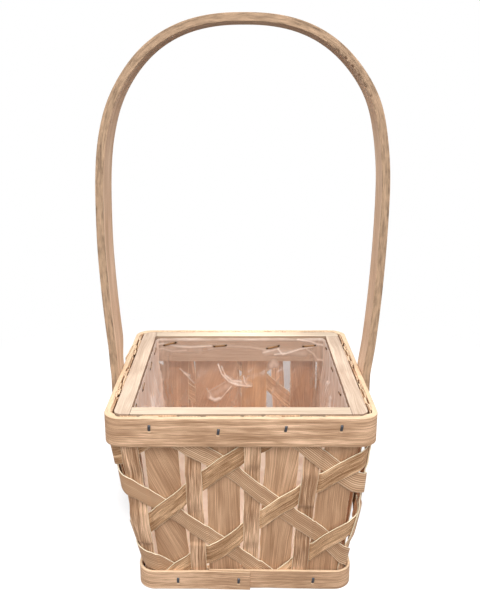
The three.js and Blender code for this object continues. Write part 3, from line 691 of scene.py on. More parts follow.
CREAM_Y = wood("board_wood_left_right", (0.465, 0.33, 0.24), (0.745, 0.61, 0.48),
               sway=(70, 12, 1.4), broad=(120, 3.0, 0.3), medium=(50, 0.8, 0.35), fine=(20, 0.28, 0.3),
               streak=(16, 0.4, 0.4), blotch=0.3, order="YXZ")
FLOOR_WOOD = wood("base_board_wood", (0.50, 0.33, 0.21), (0.80, 0.60, 0.42),
                  broad=(160, 4.5, 0.5), streak=(60, 0.8, 0.3), order="XYZ")
STAPLE_STEEL = steel("staple_steel", (0.075, 0.075, 0.082), 0.35)
WIDE_STAPLE_STEEL = steel("wide_staple_steel", (0.36, 0.22, 0.115), 0.45)
NAIL_STEEL = steel("nail_steel", (0.42, 0.41, 0.40), 0.4)
FILM = film("clear_film")


# The strips of the wall
def covered(column, places, half):
    """How far a column at the rim lies within half a width of any of some places, from 0 to 1."""
    cover = np.zeros(np.shape(column))
    for place in places:
        away = np.abs((column - place + SLAT_COUNT / 2) % SLAT_COUNT - SLAT_COUNT / 2)
        cover = np.maximum(cover, 1 - smooth((away - half) / COVER_EASE))
    return cover


def crossed(column):
    """How far a column at the rim is covered by a stake or a diagonal, from 0 to 1."""
    pitch = pitch_length(1.0)
    stakes = [stake_column(index, np.float64(STAKE_HEAD)) for index in range(SLAT_COUNT)]
    climbs = np.linspace(*CLIMBS, 1000)
    diagonals = []
    for direction, strand in DIAGONALS:
        climb = np.interp(DIAGONAL_HEAD, climb_height(direction, strand, climbs), climbs)
        diagonals.append(climb_column(direction, strand, np.array([climb]))[0])
    half = DIAGONAL_WIDTH / 2 / math.sin(math.atan(WEAVE_RISE / pitch)) / pitch
    return np.maximum(covered(column, stakes, STAKE_WIDTH / 2 / pitch), covered(column, diagonals, half))


def rim_filling(column, z):
    """How much thicker the rim band is inwards: more at the top, where fewer strips stand behind it."""
    slats = [slat_column(index, np.float64(SLAT_HEAD)) for index in range(SLAT_COUNT)]
    bare = 1 - covered(column, slats, SLAT_WIDTH / 2 / pitch_length(1.0))
    corners = covered(column, [(corner + 0.5) * SIDE_SLATS for corner in range(SIDES)], BEND)
    top = (1 - crossed(column)) * (0.7 + 1.5 * bare) + 0.5 * corners
    return RIM_BAND_SPARE + top[:, None] * smooth((z - RIM_TOP + 6) / 4)


def pressed(z, out):
    """The outer face and the thickness of a strip: inside the rim the layers are squeezed thick."""
    share = smooth((z - RIM_BAND_FOOT) / 6)
    layer = np.round((out - SLAT_OUT) / (STRIP_THICK + GAP))
    room = (STACK - RIM_BAND_SPARE) / 3
    return lerp(out, (layer + 1) * room - 0.05, share), lerp(STRIP_THICK, room - 0.1, share)


def pale_edge_and_highlight(edge, z):
    """How pale the edges of a strip are, a paler cut edge and partly a painted highlight: less so at its
    head, inside the rim.
    """
    return edge[None, :] * (1 - 0.65 * smooth((z - RIM_TOP + 4) / 3))


def upright(node, seed, column, width, out, head, figure, material, slot, splay=0.0):
    """A slat or a stake. column and out give its place along the wall and where its outer face
    stands, at each height. splay is how far its head leans out inside the rim, where it is free."""
    z = np.linspace(STRIP_FOOT, head, UPRIGHT_RINGS)[:, None]
    across, deep, edge = ring(11, UPRIGHT_RADIUS / (width / 2), UPRIGHT_RADIUS / STRIP_THICK)
    b, deep = across[None, :], deep[None, :]
    wide = width / 2 + 0.15 * wander(seed, z, 30) * np.sign(b)
    drift = 0.3 * wander(seed + 1, z, 90)
    at = column_at(length_at(column(z), z) + b * wide + drift, z)
    warp = 0.10 * wander(seed + 2, z, 60) + 0.07 * wander(seed + 3, z, 35) * b
    face, thick = pressed(z, out(z))
    if splay:
        face = face + splay * ((1 - crossed(at)) * smooth((z - RIM_BAND_FOOT - 3) / 9))
    bulge = np.where(out(z) > SLAT_OUT, bulge_at(at, z), 0)
    points = wall_point(at, z, face + bulge + warp * (1 - smooth((z - WALL_HEAD) / 5)) - deep * thick)
    grain = grain_at(seed, z, figure(z, b * width / 2), deep)
    stand_in(loft(f"{node}_veneer", points, grain, pale_edge_and_highlight(edge, z)), slot, material, node)


def grained(tilt, spread=0.0):
    """The grain of a strip: how far it runs out to one side, and how much it widens upwards."""
    return lambda z, side: side * (1 + spread * z / 100) + tilt * z


def make_uprights():
    figures = [grained(0.36), grained(0.03, 0.5), grained(-0.04, -0.4), grained(0.05, 0.2)]
    odd_woods = {GOLD_SLAT: GOLD_SLAT_WOOD, BROWN_SLAT: BROWN_SLAT_WOOD}
    for index in range(SLAT_COUNT):
        rim, base, width = SLAT_RIM, SLAT_BASE, SLAT_WIDTH
        if index // SIDE_SLATS == BACK_SIDE:
            rim, base = BACK_SLAT_RIM, BACK_SLAT_BASE
            width = SLAT_WIDTH * BACK_SLAT_WIDTHS[index % SIDE_SLATS]
        figure = figures[(index + index // SIDE_SLATS) % SIDE_SLATS]
        upright(f"wide_slat_{index + 1:02d}", SLAT_SEED + index, lambda z: strip_column(rim, base, index, z),
                width, lambda z: SLAT_OUT, SLAT_HEAD, figure, odd_woods.get(index, SLAT_WOOD), "slat_wood",
                SLAT_SPLAY)
        knots = stake_knots(index)
        upright(f"narrow_stake_{index + 1:02d}", STAKE_SEED + index, lambda z: stake_column(index, z),
                STAKE_WIDTH, lambda z: stake_out(knots, z), STAKE_HEAD,
                grained(0.03 * math.sin(5 * index)), STAKE_WOOD, "stake_wood")


def make_diagonal(direction, strand):
    climbs = np.linspace(*CLIMBS, 4000)
    heights = climb_height(direction, strand, climbs)
    start = np.interp(STRIP_FOOT - HALF_HEIGHT, heights, climbs)
    end = np.interp(DIAGONAL_HEAD + HALF_HEIGHT, heights, climbs)
    climb = np.linspace(start, end, DIAGONAL_RINGS)[:, None]
    column = climb_column(direction, strand, climb)
    middle = climb_height(direction, strand, climb)
    line = wall_point(column, np.clip(middle, 0, RIM_TOP), UNDER_OUT)[:, 0]
    steps = np.linalg.norm(np.diff(line, axis=0), axis=1)
    run = np.concatenate([[0], np.cumsum(steps)])[:, None]
    seed = DIAGONAL_SEED + strand + 10 * (direction > 0)
    across, deep, edge = ring(9, DIAGONAL_RADIUS / (DIAGONAL_WIDTH / 2), DIAGONAL_RADIUS / STRIP_THICK)
    b, deep = across[None, :], deep[None, :]
    wide = HALF_HEIGHT + 0.25 * wander(seed, run, 28) * np.sign(b)
    z = np.clip(middle + 0.3 * wander(seed + 30, run, 80) + b * wide, STRIP_FOOT, DIAGONAL_HEAD)
    warp = 0.08 * wander(seed + 60, run, 50) + 0.06 * wander(seed + 90, run, 33) * b
    warp = warp * (1 - smooth((z - WALL_HEAD) / 5))
    face, thick = pressed(z, diagonal_out(direction, strand, climb))
    points = wall_point(column, z, face + bulge_at(column, z) + warp - deep * thick)
    slope = math.atan(WEAVE_RISE / pitch_length(0.5))
    along = run + b * HALF_HEIGHT * math.sin(slope)
    grain = grain_at(seed, along, b * DIAGONAL_WIDTH / 2, deep)
    kind, material = ("rising", RISING_WOOD) if direction > 0 else ("falling", FALLING_WOOD)
    node = f"{kind}_diagonal_{strand + 1}"
    stand_in(loft(f"{node}_veneer", points, grain, pale_edge_and_highlight(edge, z)), f"{kind}_wood", material, node)


# The bands
def band(name, foot, head, thick, lap_side, lap_end, seed, dents, start_lift=0.0, filling=None):
    """One bent strip: its inner end starts thin, and its outer end runs over it. start_lift is how
    much higher its first end sits, and filling how much thicker it is inwards."""
    share = float(lean(np.float64(foot)))
    end = float(column_at(length_at(np.float64(lap_side * SIDE_SLATS), foot) + lap_end, foot))
    start = end - LAP_LENGTH / pitch_length(share)
    bends = [(corner + 0.5) * SIDE_SLATS + np.linspace(-1.1, 1.1, 15) * BEND for corner in range(2 * SIDES)]
    column = np.unique(np.concatenate([np.linspace(start, end + SLAT_COUNT, BAND_RINGS), *bends]))
    column = column[(column >= start) & (column <= end + SLAT_COUNT)][:, None]
    tip = LAP_TIP_SHARE * thick
    outer = np.interp(column, [start, end, start + SLAT_COUNT, end + SLAT_COUNT],
                      [tip, thick, thick, thick + GAP + LAP_END_SHARE * thick])
    inner = np.interp(column, [start + SLAT_COUNT - 0.02, start + SLAT_COUNT, end + SLAT_COUNT],
                      [0, tip + GAP, thick + GAP])
    across, deep, edge = ring(14, BAND_RADIUS / ((head - foot) / 2), BAND_RADIUS / thick)
    b, deep = across[None, :], deep[None, :]
    run = length_at(column, foot)
    top = head - 0.15 + 0.15 * wander(seed, run, 60)
    bottom = foot + 0.15 + 0.15 * wander(seed + 1, run, 75)
    lift = start_lift * (1 - smooth((run - run[0] - LAP_LENGTH) / 60))
    z = lerp(bottom, top, (b + 1) / 2) + lift
    depth = lerp(outer, inner, deep)
    if filling:
        depth = depth - filling(column[:, 0], z) * deep * (inner < tip)
    hollow = np.abs(0.10 * wander(seed + 2, run, 45) * (1 - b**2) * (1 - deep))
    x, y = outline(column, float(face_half(np.float64(foot))), STACK + depth - hollow)
    points = stack(x + BASE_SHIFT * (1 - share), y, z)
    return join(name, [loft(name, points, grain_at(seed, run, z - foot, 2 * deep), edge[None, :]), *dents])


# The handle
def handle_outline():
    """The handle's outer outline in XZ, at even steps, and the run along it."""
    leg = RIM_HALF + GAP + HANDLE_THICK
    straight = stack(leg, np.linspace(HANDLE_FOOT, RIM_TOP - 3, 14))
    part = np.linspace(1, 0, 40, endpoint=False)
    leaning = stack(HANDLE_HALF - (HANDLE_HALF - leg) * part**2, lerp(HANDLE_SHOULDER, RIM_TOP, part))
    angle = np.linspace(0, math.pi / 2, 120)[:-1]
    arch = stack(HANDLE_HALF * np.cos(angle) ** (2 / HANDLE_POWER),
                 lerp(HANDLE_SHOULDER, HANDLE_TOP, np.sin(angle) ** (2 / HANDLE_POWER)))
    right = np.concatenate([straight, leaning, arch])
    line = np.concatenate([right, [(0, HANDLE_TOP)], right[::-1] * (-1, 1)])
    run = np.concatenate([[0], np.cumsum(np.linalg.norm(np.diff(line, axis=0), axis=1))])
    even = np.linspace(0, run[-1], HANDLE_RINGS)
    return stack(np.interp(even, run, line[:, 0]), np.interp(even, run, line[:, 1])), even


def handle_settle(x, y, z):
    """How far the bent strap has moved off its even outline, by height: the left leg leans in and
    is twisted, and the right shoulder stands out less."""
    above = smooth((z - RIM_TOP) / 25)
    left = 1.0 + 1.2 * smooth((z - 230) / 70) + 1.0 * smooth((z - 335) / 35)
    left = left + 1.6 * (y - HANDLE_FRONT) / (HANDLE_BACK - HANDLE_FRONT) * (1 - 0.4 * smooth((z - 320) / 50))
    right = 0.5 + 1.3 * np.exp(-(((z - 344) / 20) ** 2))
    return above * lerp(right, left, smooth((30 - x) / 60))


def make_handle():
    line, run = handle_outline()
    run = run[:, None]
    ahead = np.gradient(line, axis=0)
    ahead /= np.linalg.norm(ahead, axis=1)[:, None]
    for _ in range(6):
        ahead[1:-1] = (ahead[:-2] + ahead[1:-1] + ahead[2:]) / 3
    half = (HANDLE_BACK - HANDLE_FRONT) / 2
    across, deep, edge = ring(16, HANDLE_RADIUS / half, HANDLE_RADIUS / HANDLE_THICK, edge_steps=7)
    b, d = across[None, :], deep[None, :]
    rough = (0.10 * wander(5, run, 9) + 0.07 * wander(8, run, 3) * (d - 0.5)) * np.sign(b) * edge
    torn = np.exp(-(((run - TORN_RUN) / TORN_LENGTH) ** 2)) * (b < 0) * smooth((d - 0.6) / 0.3)
    ragged = (0.12 * np.abs(wander(6, run, 14)) + 0.1 * np.abs(wander(7, run, 4))) * edge * (d > 0.5)
    splinter = torn * (0.35 + 0.35 * wander(9, run, 6))
    y = (HANDLE_FRONT + HANDLE_BACK) / 2 + b * (half - 0.15) + rough + splinter * edge
    depth = d * HANDLE_THICK - ragged - np.maximum(0, splinter) + 0.02
    x, y, z = np.broadcast_arrays(line[:, :1] - ahead[:, 1:] * depth, y, line[:, 1:] + ahead[:, :1] * depth)
    dark_tear = torn * smooth((wander(10, run, 7) - 0.1) / 0.5) * edge * (d > 0.8)
    # Painted shade: the underside of the arch's top is darkened, where little light reaches it
    painted_underside_shade = UNDERSIDE_PAINTED_SHADE * smooth((z - 335) / 50) * (d > 0.95)
    grain = grain_at(0, run, y, -HANDLE_THICK * d)
    piece = loft("handle_bentwood", stack(x + handle_settle(x, y, z), y, z), grain, edge[None, :],
                 np.maximum(dark_tear, painted_underside_shade))
    stand_in(piece, "handle_wood", HANDLE_WOOD, "handle")


# Fasteners
def bar(path, width, thick, up, grain=0.0, edge=0.0, mark_and_shade=0.0, side=None):
    """A flat wire along a path, with its flat side facing up. side is its direction across, where
    the path turns too far for it to be worked out."""
    path = np.array(path, float)
    ahead = np.gradient(path, axis=0)
    ahead /= np.linalg.norm(ahead, axis=1)[:, None]
    side = np.cross(ahead, up) if side is None else np.tile(side, (len(path), 1))
    side /= np.linalg.norm(side, axis=1)[:, None]
    out = np.cross(side, ahead)
    rows = []
    for angle in np.linspace(0, 2 * math.pi, 12, endpoint=False):
        c, s = (math.copysign(abs(part) ** 0.5, part) for part in (math.cos(angle), math.sin(angle)))
        rows.append(path + side * (c * width / 2) + out * (s * thick / 2))
    points = np.stack(rows, 1)
    return loft("wire", points, points + grain, edge, np.reshape(mark_and_shade, (-1, 1)))


def staple(middle, along, up, crown, width, thick, sunk, bend=0.7, shaded_ends=False):
    """A driven staple: a crown along one direction, and legs that turn into the wood."""
    along, up = along / np.linalg.norm(along), up / np.linalg.norm(up)
    start = -crown / 2 + width / 3
    path = [(start, -STAPLE_LEG + t * (STAPLE_LEG - bend)) for t in np.linspace(0, 1, 4)[:-1]]
    for angle in np.linspace(0, math.pi / 2, 6):
        path.append((start + bend * (1 - math.cos(angle)), -bend + bend * math.sin(angle)))
    half = len(path)
    path += [(-a, h) for a, h in reversed(path)]
    if shaded_ends:
        (first, height), (last, _) = path[half - 1], path[half]
        path[half:half] = [(a, height) for a in np.linspace(first, last, 14)[1:-1]]
    points = [middle + along * a + up * (h + thick / 2 - sunk) for a, h in path]
    # Painted shade: the wire darkens towards both ends, where the legs go into their holes
    mark_and_shade = shaded_ends * smooth((np.array([abs(a) for a, _ in path]) - crown / 2 + 2.6) / 1.2)
    return bar(points, width, thick, up, mark_and_shade=mark_and_shade, side=np.cross(along, up))


def side_frame(side):
    """The direction along a side, anticlockwise, and the direction out of it."""
    return np.array([*turned(side, 1, 0), 0]), np.array([*turned(side, 0, -1), 0])


def dent(middle, line, out, seed):
    """The fibres that a staple's lower end has pushed up: a short pale crescent."""
    side = np.cross(line, out)
    path = []
    for angle in np.linspace(-1.1, 1.2, 7):
        at = middle - line * (2.3 + 0.75 * math.cos(angle)) + side * 1.15 * math.sin(angle)
        path.append(at - out * (0.12 - 0.14 * math.cos(angle)))
    return bar(path, 0.6, 0.36, out, grain=50.0 * seed, edge=1.0)


# Where the staples sit: their share of half a side, and of the height of the band or board
RIM_STAPLE_SHARES = (-0.659, -0.163, 0.323, 0.723)
RIM_STAPLE_RISES = (0.674, 0.54, 0.64, 0.67)
BASE_STAPLE_SHARES = (-0.625, -0.059, 0.636)
LINER_STAPLE_SHARES = (-0.676, -0.196, 0.307, 0.654)
LINER_STAPLE_RISES = (0.704, 0.62, 0.571, 0.618)
STAPLE_LEG = 1.4
UP = np.array([0.0, 0, 1])


def band_fasteners(name, half, shift, places, seed):
    """The staples of a band. places are (side, share, height and how far the band's face stands out
    there). Returns the dents that the staples leave in the band."""
    staples, dents = [], []
    for i, (side, share, height, stand) in enumerate(places):
        along, out = side_frame(side)
        tilt = math.radians(84 + 5 * math.sin(5 * i + seed))
        line = along * math.cos(tilt) + UP * math.sin(tilt)
        middle = along * share * half + out * (half + stand) + UP * height + np.array([shift, 0, 0])
        staples.append(staple(middle, line, out, 5.4, 1.9, 0.9, 0.15, bend=1.2))
        dents.append(dent(middle, line, out, i + seed))
    stand_in(join(name, staples), "steel", STAPLE_STEEL)
    return dents


def make_bands():
    places = []
    for side in range(SIDES):
        flip = -1 if side == 1 else 1
        for share, rise in zip(RIM_STAPLE_SHARES, RIM_STAPLE_RISES):
            places.append((side, flip * share, lerp(RIM_BAND_FOOT, RIM_TOP, rise), 0.0))
    dents = band_fasteners("rim_band_staples", RIM_HALF, 0.0, places, 1)
    piece = band("rim_band_veneer", RIM_BAND_FOOT, RIM_TOP, RIM_BAND_THICK, 3, RIM_LAP_END, 151, dents,
                 filling=rim_filling)
    stand_in(piece, "band_wood", BAND_WOOD, "rim_band")
    places = []
    for side in range(SIDES):
        for share in BASE_STAPLE_SHARES:
            before_end = (BASE_LAP_END - share * BASE_HALF) / LAP_LENGTH
            lapped = side == 0 and 0 < before_end < 1
            stand = (GAP + LAP_END_SHARE * BASE_BAND_THICK) * (1 - before_end) if lapped else 0.0
            places.append((side, share, BASE_BAND_TOP / 2, stand))
    dents = band_fasteners("base_band_staples", BASE_HALF, BASE_SHIFT, places, 2)
    piece = band("base_band_veneer", 0.0, BASE_BAND_TOP, BASE_BAND_THICK, 0, BASE_LAP_END, 161, dents,
                 start_lift=0.8)
    stand_in(piece, "band_wood", BAND_WOOD, "base_band")


def make_liner_staples():
    staples = []
    for side in range(SIDES):
        along, out = side_frame(side)
        for i, (share, rise) in enumerate(zip(LINER_STAPLE_SHARES, LINER_STAPLE_RISES)):
            tilt = math.radians(9 + 4 * math.sin(3 * i + side))
            line = -along * math.cos(tilt) + UP * math.sin(tilt)
            height = lerp(BOARD_FOOT, RIM_TOP, rise)
            middle = -along * share * RIM_HALF + out * (BOARD_INNER - 0.5) + UP * height
            staples.append(staple(middle, line, -out, 12.5, 1.5, 0.8, 0.1, shaded_ends=True))
    stand_in(join("liner_staples", staples), "steel", WIDE_STAPLE_STEEL)


def nail_head(place, out, radius=2.6, thick=0.8):
    """A flat nail head with a hammered rim, standing on a face."""
    place, out = np.array(place, float), np.array(out, float)
    side = np.cross(UP, out)
    turns = np.linspace(0, 2 * math.pi, 24, endpoint=False)[:, None]
    circle = np.cos(turns) * side + np.sin(turns) * UP
    rows = [place + out * h + r * circle for r, h in (
        (0.05, -0.3), (radius * 0.9, -0.3), (radius, 0), (radius, thick * 0.6),
        (radius * 0.9, thick * 0.92), (radius * 0.5, thick), (0.05, thick))]
    points = np.stack(rows, 0)
    return loft("nail_head", points, np.zeros(points.shape), 0.0)


# The nails that aren't in the CAD: heads as (y, below the rim), and tips inside as (y, z)
HANDLE_NAILS = ((3.6, 6.4), (1.2, 15.0))
NAIL_TIPS = {1: ((6.5, 140.8), (-17.7, 138.2), (-20.7, 135.9), (-55.5, 136.8)),
             -1: ((-2, 132.4), (-13, 131), (-44.8, 129.3))}


def make_nails():
    heads = []
    for sign in (1, -1):
        for y, below in HANDLE_NAILS:
            place = (sign * (RIM_HALF + GAP + HANDLE_THICK + 0.1), y, RIM_TOP - below)
            heads.append(nail_head(place, (sign, 0, 0)))
        for y, z in NAIL_TIPS[sign]:
            heads.append(nail_head((sign * BOARD_INNER, y, z), (-sign, 0, 0), 0.55, 0.35))
    stand_in(join("more_handle_nails", heads), "steel", NAIL_STEEL)


# The liner
def crease(along, z, path, width):
    """How near a place on a wall is to a crease, 1 on it. The path is a list of (along, z)."""
    nearest = np.full(np.broadcast(along, z).shape, np.inf)
    for (a0, z0), (a1, z1) in zip(path, path[1:]):
        da, dz = a1 - a0, z1 - z0
        t = np.clip(((along - a0) * da + (z - z0) * dz) / (da**2 + dz**2), 0, 1)
        nearest = np.minimum(nearest, np.hypot(along - a0 - t * da, z - z0 - t * dz))
    return np.exp(-((nearest / width) ** 2))


# The creases that show on the back wall of the film, as (x, z), with their width and height
BACK_CREASES = [
    ([(-20, 117), (-17, 108), (-11, 101), (-3, 98), (9, 97)], 0.5, 1.5),
    ([(-17, 115), (-14, 107), (-8, 102), (0, 101)], 0.5, 0.9),
    ([(-15, 106), (-8, 100.5), (2, 99), (8, 99)], 2.2, 0.4),
    ([(2, 106), (3, 101), (6, 98), (9, 97)], 0.45, 0.9),
    ([(-9, 97), (-13, 92), (-16, 88), (-19, 85)], 0.45, 0.9),
    ([(-28, 86), (-24, 84), (-20, 85)], 1.4, 1.3),
    ([(-31, 95), (-28, 90), (-27, 85)], 0.5, 0.4),
    ([(-28, 88), (-21, 91), (-14, 96)], 3.5, 0.28),
    ([(-14, 101), (-24, 95), (-30, 92)], 0.5, 0.3),
    ([(-54, 113), (-48, 107), (-42, 100)], 0.5, 0.7),
    ([(-50, 109), (-46, 107)], 0.9, 0.6),
    ([(27, 116), (29, 119), (31, 117)], 2.4, 0.5),
    ([(-72, 137), (-58, 134), (-44, 133), (-26, 134)], 0.8, 0.9),
    ([(-72, 133), (-60, 129), (-48, 130)], 0.6, 0.45),
    ([(-72, 130), (-56, 131), (-36, 130)], 3.0, 0.2),
    ([(30, 126), (40, 127), (52, 131), (66, 134)], 0.6, 1.3),
    ([(33, 131), (37, 126), (40, 127)], 0.6, 1.1),
    ([(22, 128), (32, 129), (44, 128), (56, 127)], 2.6, 0.35),
    ([(20, 128), (28, 130), (34, 132)], 0.7, 0.6),
    ([(50, 140), (62, 138), (73, 133)], 0.8, 0.9),
    ([(58, 131), (64, 127), (68, 121)], 0.6, 0.6),
    ([(-28, 131), (-10, 134), (8, 133), (24, 130)], 1.2, 0.3),
]


def wall_creases(side, along, z):
    """The creases of one wall: those of the back are seen, and the others are like them."""
    if side == BACK_SIDE:
        return [(crease(-along, z, path, width), height) for path, width, height in BACK_CREASES]
    rng = np.random.default_rng(400 + side)
    found = []
    for _ in range(11):
        a, high, turn = rng.uniform(-62, 62), rng.uniform(35, 134), rng.uniform(-1.2, 1.2)
        path = [(a, high)]
        for _ in range(3):
            a, high, turn = a + 9 * math.sin(turn), high - 9 * math.cos(turn), turn + rng.uniform(-0.7, 0.7)
            path.append((a, high))
        found.append((crease(along, z, path, rng.uniform(0.8, 1.4)), rng.uniform(0.5, 1.3)))
    return found


def liner_wall(side, along_share, z, top_z, floor_z):
    """One wall of the liner: its points, how milky it is and how strong its painted bounce tint is.
    along_share runs from -1 to 1, corner to corner."""
    top_half, floor_half = BOARD_INNER - 0.45, BASE_FACE - 1.2
    share = np.clip((z - floor_z) / (WALL_HEAD - floor_z), 0, 1)
    half = lerp(floor_half, top_half, share)
    to_corner = np.abs(along_share)
    turn = np.maximum(0, to_corner - LINER_FLAT) / (1 - LINER_FLAT) * math.pi / 4
    straight = np.minimum(to_corner, LINER_FLAT) / LINER_FLAT * (half - LINER_RADIUS)
    along = np.sign(along_share) * straight
    run = along + side * 2 * half
    hang = smooth((WALL_HEAD + 3 - z) / 22)
    swell = wander(303, run + 0.5 * z, 75) + 0.8 * wander(304 + side, z + 0.4 * run, 62)
    folds = wander(305, run + 5 * wander(306, z, 50), 15) + 0.6 * wander(307, run - 0.7 * z, 26)
    loose = hang * (1 - 0.75 * smooth((to_corner - 0.7) / 0.3))
    inward = hang * 1.8 + loose * (1.1 * swell + 0.45 * folds)
    inward = inward + 0.22 * (1 + wander(308, run, 19)) * (1 - hang)
    base, veil = LINER_HAZE[side]
    haze = base + veil * np.clip(wander(314 + side, along + 0.5 * z, 34) + 0.5 * folds, -1, 1) * hang
    creased = 0.0
    for near, height in wall_creases(side, along, z):
        creased = creased + near * height
        inward = inward + 0.4 * height * near * (0.35 + 0.65 * hang)
    corner = smooth((to_corner - 0.78) / 0.22)
    pleats = 0.5 + 0.5 * np.sin(2 * math.pi * to_corner * 19 + 2.6 * wander(309 + side, z, 60))
    inward = inward + corner * hang * (0.6 + 0.35 * pleats)
    haze = haze + corner * (0.06 + 0.1 * pleats)
    lip = smooth((z - top_z + 3.4) / 2.2) * (0.75 + 0.25 * wander(313, run, 60))
    inward = np.maximum(0.0, inward) + 0.25 * lip
    haze = np.clip(haze + 0.62 * creased + 0.6 * lip, 0.0, 0.95)
    # The painted bounce tint: full on the front wall, half on the others, none on creases and the lip
    bounce_tint = 1.0 if side == 0 else 0.5 * (1 - np.clip(creased + lip, 0, 1))
    across = along + np.sign(along_share) * LINER_RADIUS * np.sin(turn)
    x, y = turned(side, across, -(half - LINER_RADIUS + LINER_RADIUS * np.cos(turn) - inward))
    return stack(x + BASE_SHIFT * (1 - share), y, z), haze, np.broadcast_to(bounce_tint, haze.shape)


def liner_floor(wall_foot, floor_z):
    """The rings of the liner's floor: they calm down towards the middle."""
    calm = wall_foot
    for _ in range(60):
        calm = (np.roll(calm, 1, 0) + 2 * calm + np.roll(calm, -1, 0)) / 4
    centre = np.array([BASE_SHIFT, 0, floor_z])
    rings = []
    for t in np.arange(1, LINER_FLOOR_RINGS + 1) / LINER_FLOOR_RINGS:
        ring_points = lerp(lerp(wall_foot, calm, min(1.0, 3 * t)), centre, t * 0.95)
        x, y = ring_points[:, 0], ring_points[:, 1]
        lift = 0.7 + 0.5 * wander(311, x + 0.6 * y, 52) + 0.35 * wander(312, y - 0.5 * x, 21)
        lift = lerp(lift, lift.mean(), smooth((t - 0.7) / 0.3))
        ring_points[:, 2] = floor_z + np.maximum(0, lift) * math.sin(math.pi / 2 * min(1.0, 2 * t))
        rings.append(ring_points)
    return np.stack(rings)


def make_liner():
    """A tray of thin film, pressed into the basket and stapled to the boards: wrinkled where it
    has too much room, tight under the staples."""
    top_z = RIM_TOP - 1.6
    floor_z = reach("base_board", Z) + 0.9
    heights = np.concatenate([np.arange(top_z, 78, -0.7), np.linspace(77.5, floor_z, 26)])
    t = ((top_z - heights) / (top_z - floor_z))[:, None]
    walls = []
    for side, steps in enumerate(LINER_SIDE_STEPS):
        shares = (np.arange(steps) / steps * 2 - 1)[None, :]
        ragged = 0.35 * wander(310, shares * 70 + 140 * side, 44) * (1 - smooth(t * 8))
        z = lerp(top_z, floor_z, t) + ragged
        walls.append(liner_wall(side, np.broadcast_to(shares, z.shape), z, top_z, floor_z))
    points, haze, bounce_tint = (np.concatenate(parts, 1) for parts in zip(*walls))
    points = np.concatenate([points, liner_floor(points[-1], floor_z)])
    rings, around = points.shape[:2]
    floor = np.ones((LINER_FLOOR_RINGS, around))
    cap = list(range((rings - 1) * around, rings * around))[::-1]
    piece = add_mesh("liner_film", points, [*skin(rings, around)[:, [0, 3, 2, 1]].tolist(), cap], {
        "haze": np.concatenate([haze, 0.6 * floor]), "bounce_tint": np.concatenate([bounce_tint, 0.5 * floor])})
    stand_in(piece, "film", FILM, "liner")


def finish_boards():
    """The boards and nails keep their CAD shapes, with eased edges."""
    materials = {"rim_board_front": CREAM_X, "rim_board_back": CREAM_X, "rim_board_left": CREAM_Y,
                 "rim_board_right": CREAM_Y, "base_board": FLOOR_WOOD,
                 "handle_nail_left": NAIL_STEEL, "handle_nail_right": NAIL_STEEL}
    for name, material in materials.items():
        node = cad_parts[name]
        node.data.materials.clear()
        node.data.materials.append(material)
        bevel = node.modifiers.new("eased_edges", "BEVEL")
        bevel.width = (NAIL_EASE if "nail" in name else BOARD_EASE) * MM
        bevel.segments = 2
        bevel.limit_method = "ANGLE"
        bevel.harden_normals = True


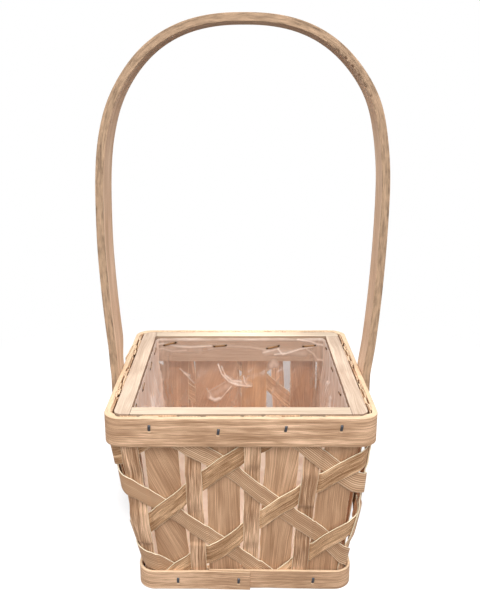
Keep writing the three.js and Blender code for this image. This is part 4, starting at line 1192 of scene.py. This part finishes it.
def make_stage():
    """A pale floor that keeps the soft shadow. In a patch behind the basket its white lift is low, a
    painted shadow; it is lighter round that, and fades to white."""
    t = Tree("stage_white")
    place = t.place()
    colour = t.ramp(t.noise(place, (9, 9, 9)), [(0.3, (0.25, 0.247, 0.25)), (0.7, (0.27, 0.267, 0.27))])
    matt = t.first("ShaderNodeBsdfDiffuse", {"Color": colour})
    axes = t.node("ShaderNodeSeparateXYZ", {0: place}).outputs
    # The painted shadow: how far a point lies beside or beyond the patch behind the basket, where the white
    # lift is low
    painted_shadow_half_width = t.math("MULTIPLY_ADD", axes["Y"], PAINTED_SHADOW_SPREAD, PAINTED_SHADOW_HALF)
    beside = t.math("SUBTRACT", t.math("ABSOLUTE", axes["X"]), painted_shadow_half_width)
    from_middle = t.math("ABSOLUTE", t.math("SUBTRACT", axes["Y"], PAINTED_SHADOW_MIDDLE))
    beyond = t.math("SUBTRACT", from_middle, PAINTED_SHADOW_REACH)
    beside, beyond = t.math("MAXIMUM", beside, 0.0), t.math("MAXIMUM", beyond, 0.0)
    off = t.first("ShaderNodeCombineXYZ", {0: beside, 1: beyond})
    lift_with_painted_shadow = t.spread(t.length(off), 0, PAINTED_SHADOW_EDGE, PAINTED_SHADOW_LIFT, OPEN_LIGHT, "SMOOTHSTEP")
    away = t.first("ShaderNodeVectorMath", {0: place, 1: (0, -FADE_MIDDLE, 0)}, operation="ADD")
    fade = t.spread(t.length(away), FADE_START, FADE_END, kind="SMOOTHSTEP")
    seen = t.seen()
    lift = t.first("ShaderNodeEmission", {"Color": WHITE, "Strength": t.math("MULTIPLY", seen, lift_with_painted_shadow)})
    white = t.first("ShaderNodeEmission", {"Color": WHITE, "Strength": 1.0})
    near = t.first("ShaderNodeAddShader", {0: matt, 1: lift})
    material = t.finish(t.blend(t.math("MULTIPLY", fade, seen), near, white))
    half = STAGE_HALF / MM
    corners = [(-half, -half, 0), (half, -half, 0), (half, half, 0), (-half, half, 0)]
    floor = add_mesh("floor", corners, [(0, 1, 2, 3)], {})
    floor.data.materials.append(material)


def lamp(name, kind, place, target, watts, **settings):
    data = bpy.data.lights.new(name, kind)
    data.energy = watts
    for key, value in settings.items():
        setattr(data, key, value)
    thing = link(name, data)
    thing.location = place
    thing.rotation_euler = (Vector(target) - Vector(place)).to_track_quat("-Z", "Y").to_euler()


def make_light():
    """A dim grey world that shows as white, five wide lamps, and a narrow one that shines inside."""
    t = Tree("studio", bpy.data.worlds)
    plain = t.first("ShaderNodeBackground", {"Strength": WORLD_LIGHT})
    white = t.first("ShaderNodeBackground", {"Color": WHITE, "Strength": 1.0})
    bpy.context.scene.world = t.finish(t.blend(t.seen(), plain, white), "ShaderNodeOutputWorld")
    for name, place, size, watts in LAMPS:
        lamp(name, "AREA", place, LAMP_TARGET, watts, shape="RECTANGLE", size=size, size_y=size)
    lamp("inside", "SPOT", (0, 0.42, 1.6), (0, -0.01, 0.03), 75,
         spot_size=math.radians(6.0), spot_blend=0.35, shadow_soft_size=0.02)


def make_camera():
    data = bpy.data.cameras.new("camera")
    data.lens, data.sensor_width = 43.69, 36
    data.clip_start, data.clip_end = 0.01, 50
    camera = link("camera", data)
    camera.location = (-0.0006, -0.5299, 0.3503)
    camera.rotation_euler = Euler((math.radians(73.9), 0, 0))
    bpy.context.scene.camera = camera


make_uprights()
for heading, number in DIAGONALS:
    make_diagonal(heading, number)
make_bands()
make_handle()
make_liner_staples()
make_nails()
make_liner()
finish_boards()
make_stage()
make_light()
make_camera()
bpy.context.scene.view_settings.view_transform = "Standard"
